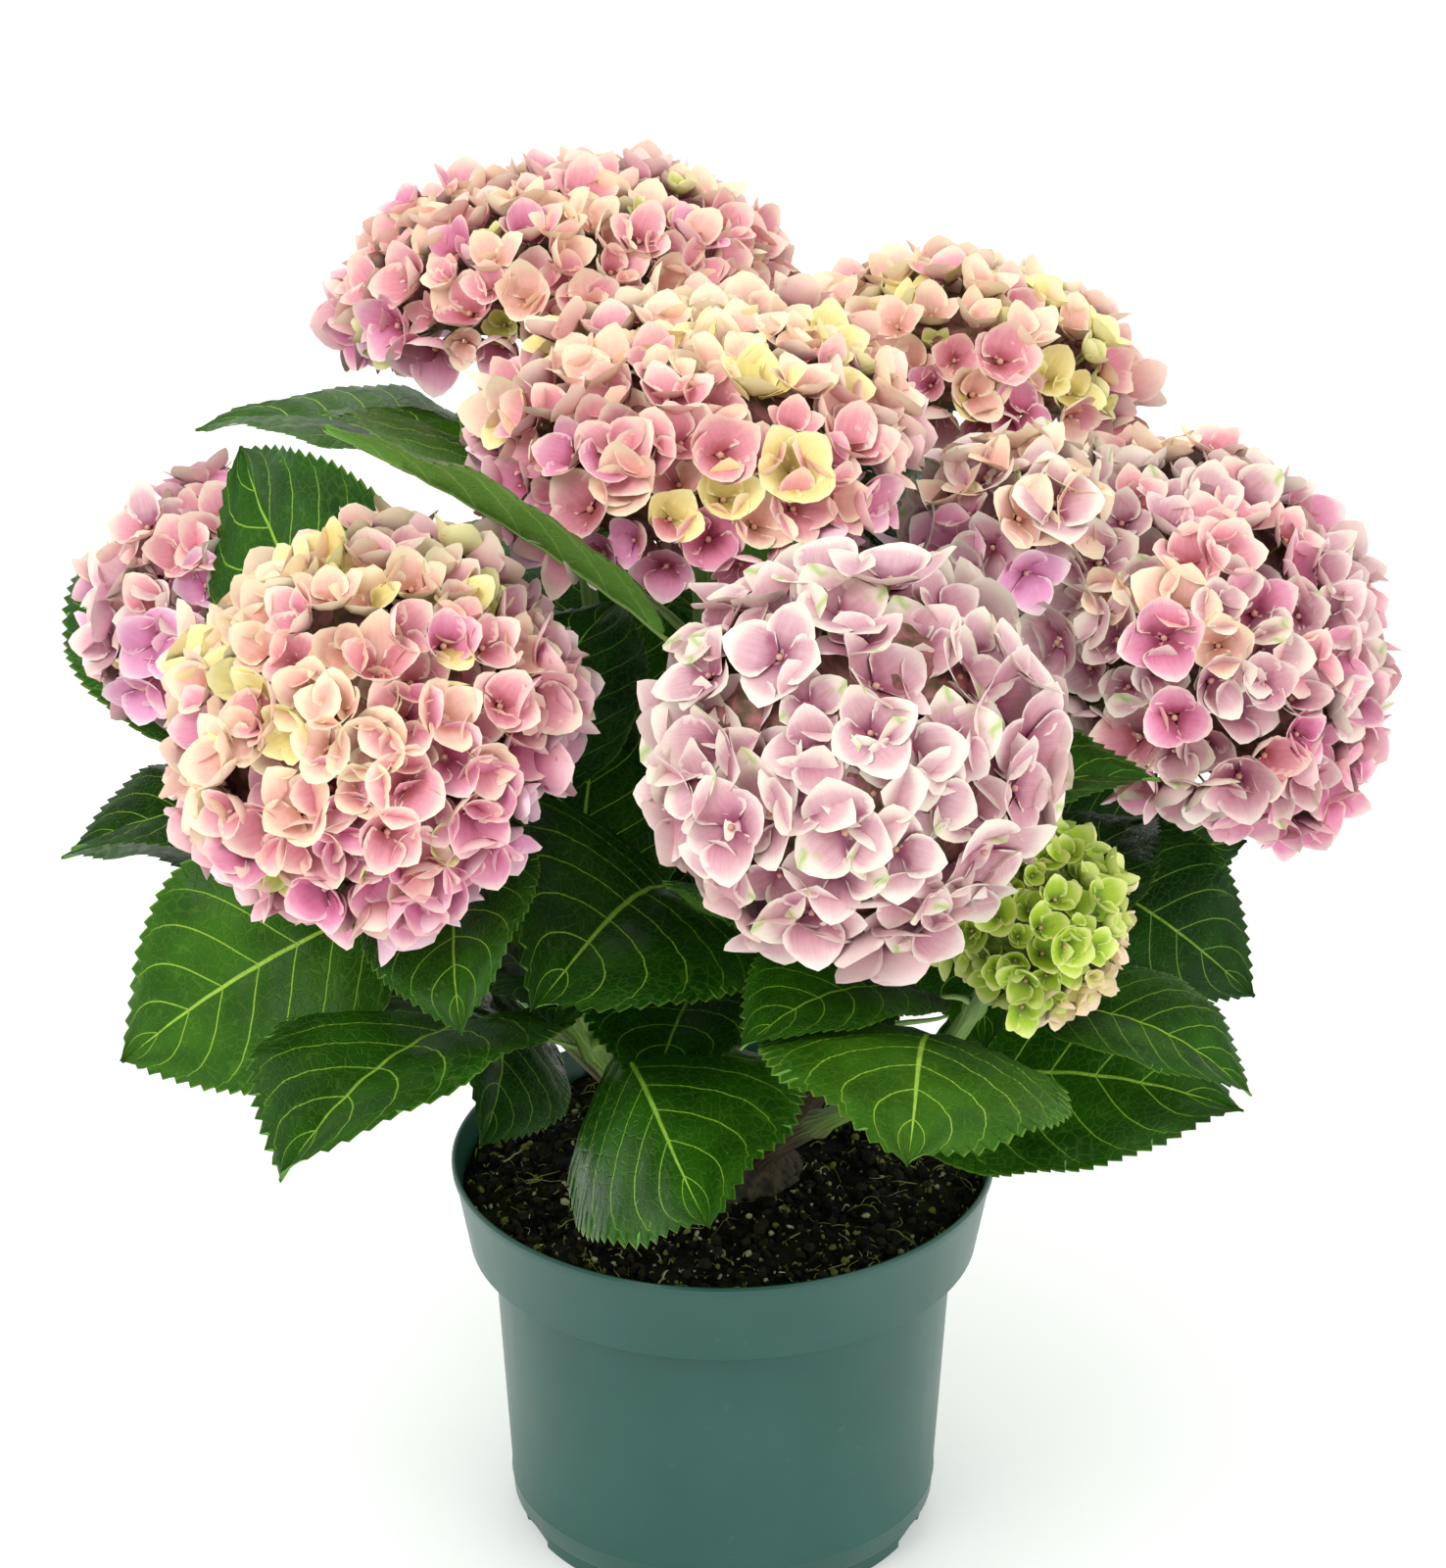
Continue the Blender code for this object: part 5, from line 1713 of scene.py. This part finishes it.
# %% All the heads
BEAD_RADIUS = 0.00105
BEAD_RISE = 0.0008
STRAY_PETALS = 0.16
floret_count = 0
for shoot in SHOOTS:
    florets = florets_of(shoot)
    look = LOOKS[shoot.name]
    head = Heap(f"head_{shoot.name}")
    corners, owner = petal_points(florets)
    second = deal_colours(florets.turns[:, :, 2], look)[owner]
    share = STRAY_PETALS
    if look.strays:
        share = look.strays[1]
        second[:] = FAMILY_NAMES.index(look.strays[0])
    stray = chance.random(len(owner)) < share
    family = np.where(stray, second, florets.family[owner])
    head.add(corners, PETAL_FACES, PETAL_UV, PETAL_ATLAS[family], family)
    beads = florets.places + florets.turns[:, :, 2] * BEAD_RISE * florets.sizes[:, None]
    size = (BEAD_RADIUS * florets.sizes)[:, None, None]
    head.add(BALL[None] * size + beads[:, None], BALL_FACES, BALL_UV, BEAD_ATLAS[None], BEAD_SLOT)
    kind = "lime" if shoot.name == "young" else "pink"
    atlas = atlas_cell(MASS_UV, np.array(MASS_CELLS[kind]), FAMILY_GRID)
    head.add(bud_mass(shoot.bloom)[None], MASS_FACES, MASS_UV, atlas[None], MASS_SLOTS[kind])
    piece = head.build(FLOWER_FINISHES, angle=70.0)
    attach(piece, "root")
    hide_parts(f"bloom_{shoot.name}")
    add_rays(shoot.bloom, florets)
    floret_count += len(florets.sizes)
print("florets:", floret_count)

# %% [markdown]
# The stalks are green, and redden where the sun reaches them.

# %% Stalk skin
skin_green = Finish("flower_stalk", roughness=0.5)
around, up = skin_green.shape()
blush = skin_green.noise(skin_green.vector(around * 5.0, up * 4.0), 1.0, detail=3.0)
skin_green.feed(colour=skin_green.mix(blush.step(0.35, 0.70), (0.170, 0.210, 0.050),
                                      (0.270, 0.130, 0.080)))
stalk_piece = stalks.build([skin_green.material])
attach(stalk_piece, "root")

# %% [markdown]
# ## Floor, light and camera
#
# The plant stands on white paper.  One very wide disc of it fills the view, under a white sky.

# %% The floor
FLOOR_RADIUS, FLOOR_MIDDLE = 60.0, 3.0
deselect()
bpy.ops.mesh.primitive_circle_add(vertices=128, radius=FLOOR_RADIUS, fill_type="NGON")
floor = grab()
floor.name = "studio_floor"
edit(floor)
bpy.ops.mesh.inset(thickness=FLOOR_RADIUS - FLOOR_MIDDLE)
close_edit()
paper = Finish("studio_paper", roughness=0.9, Base_Color=(0.93, 0.93, 0.93, 1.0),
               Specular_IOR_Level=0.1, Emission_Color=(1.0, 1.0, 1.0, 1.0),
               Emission_Strength=0.16)
dress(floor, paper)
floor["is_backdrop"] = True

# %% [markdown]
# Three soft area lights do the work of a studio: a broad one above and in front, a fill from the
# right, and a weak one behind that edges the petals.

# %% Light
SKY = 0.94


def soft_light(name, place, aim, size, power):
    """A square area light at a place, turned to face its aim."""
    lamp = bpy.data.lights.new(name, "AREA")
    lamp.shape = "SQUARE"
    lamp.size = size
    lamp.energy = power
    thing = bpy.data.objects.new(name, lamp)
    show(thing)
    thing.location = place
    thing.rotation_euler = (Vector(aim) - Vector(place)).to_track_quat("-Z", "Y").to_euler()


world = bpy.data.worlds.new("studio_air")
bpy.context.scene.world = world
world.use_nodes = True
air = world.node_tree.nodes["Background"]
air.inputs["Color"].default_value = (1.0, 1.0, 1.0, 1.0)
air.inputs["Strength"].default_value = SKY
soft_light("key", (-0.9, -1.1, 1.7), (0.0, 0.0, 0.25), 0.9, 15.0)
soft_light("fill", (1.3, -0.9, 1.0), (0.0, 0.0, 0.25), 1.2, 6.0)
soft_light("rim", (0.2, 1.5, 1.4), (0.0, 0.0, 0.30), 0.8, 6.0)

# %% [markdown]
# The camera stands in front of the plant, a little above it, and looks down with a long lens.

# %% Camera
CAMERA_PLACE = (0.0, -1.6618, 1.0611)
CAMERA_PITCH = 25.12
FRAME_HEIGHT = 1600
FOCAL_PIXELS = 5530
SENSOR = 36.0
lens = bpy.data.cameras.new("camera")
lens.sensor_width = SENSOR
lens.lens = FOCAL_PIXELS / FRAME_HEIGHT * SENSOR
lens.clip_end = 200.0
camera = bpy.data.objects.new("camera", lens)
show(camera)
camera.location = CAMERA_PLACE
camera.rotation_euler = (math.radians(90.0 - CAMERA_PITCH), 0.0, 0.0)
bpy.context.scene.camera = camera
bpy.context.scene.view_settings.view_transform = "Standard"
print("lens", round(lens.lens, 1), "mm")

# %% [markdown]
# Last, the size of the dressed plant is printed next to the solid model's, so the two can be
# compared.

# %% Sizes and finish
dressed_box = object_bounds()
for label, box in (("solid", solid_box), ("dressed", dressed_box)):
    print(label, [round(high - low, 4) for low, high in zip(*box)])
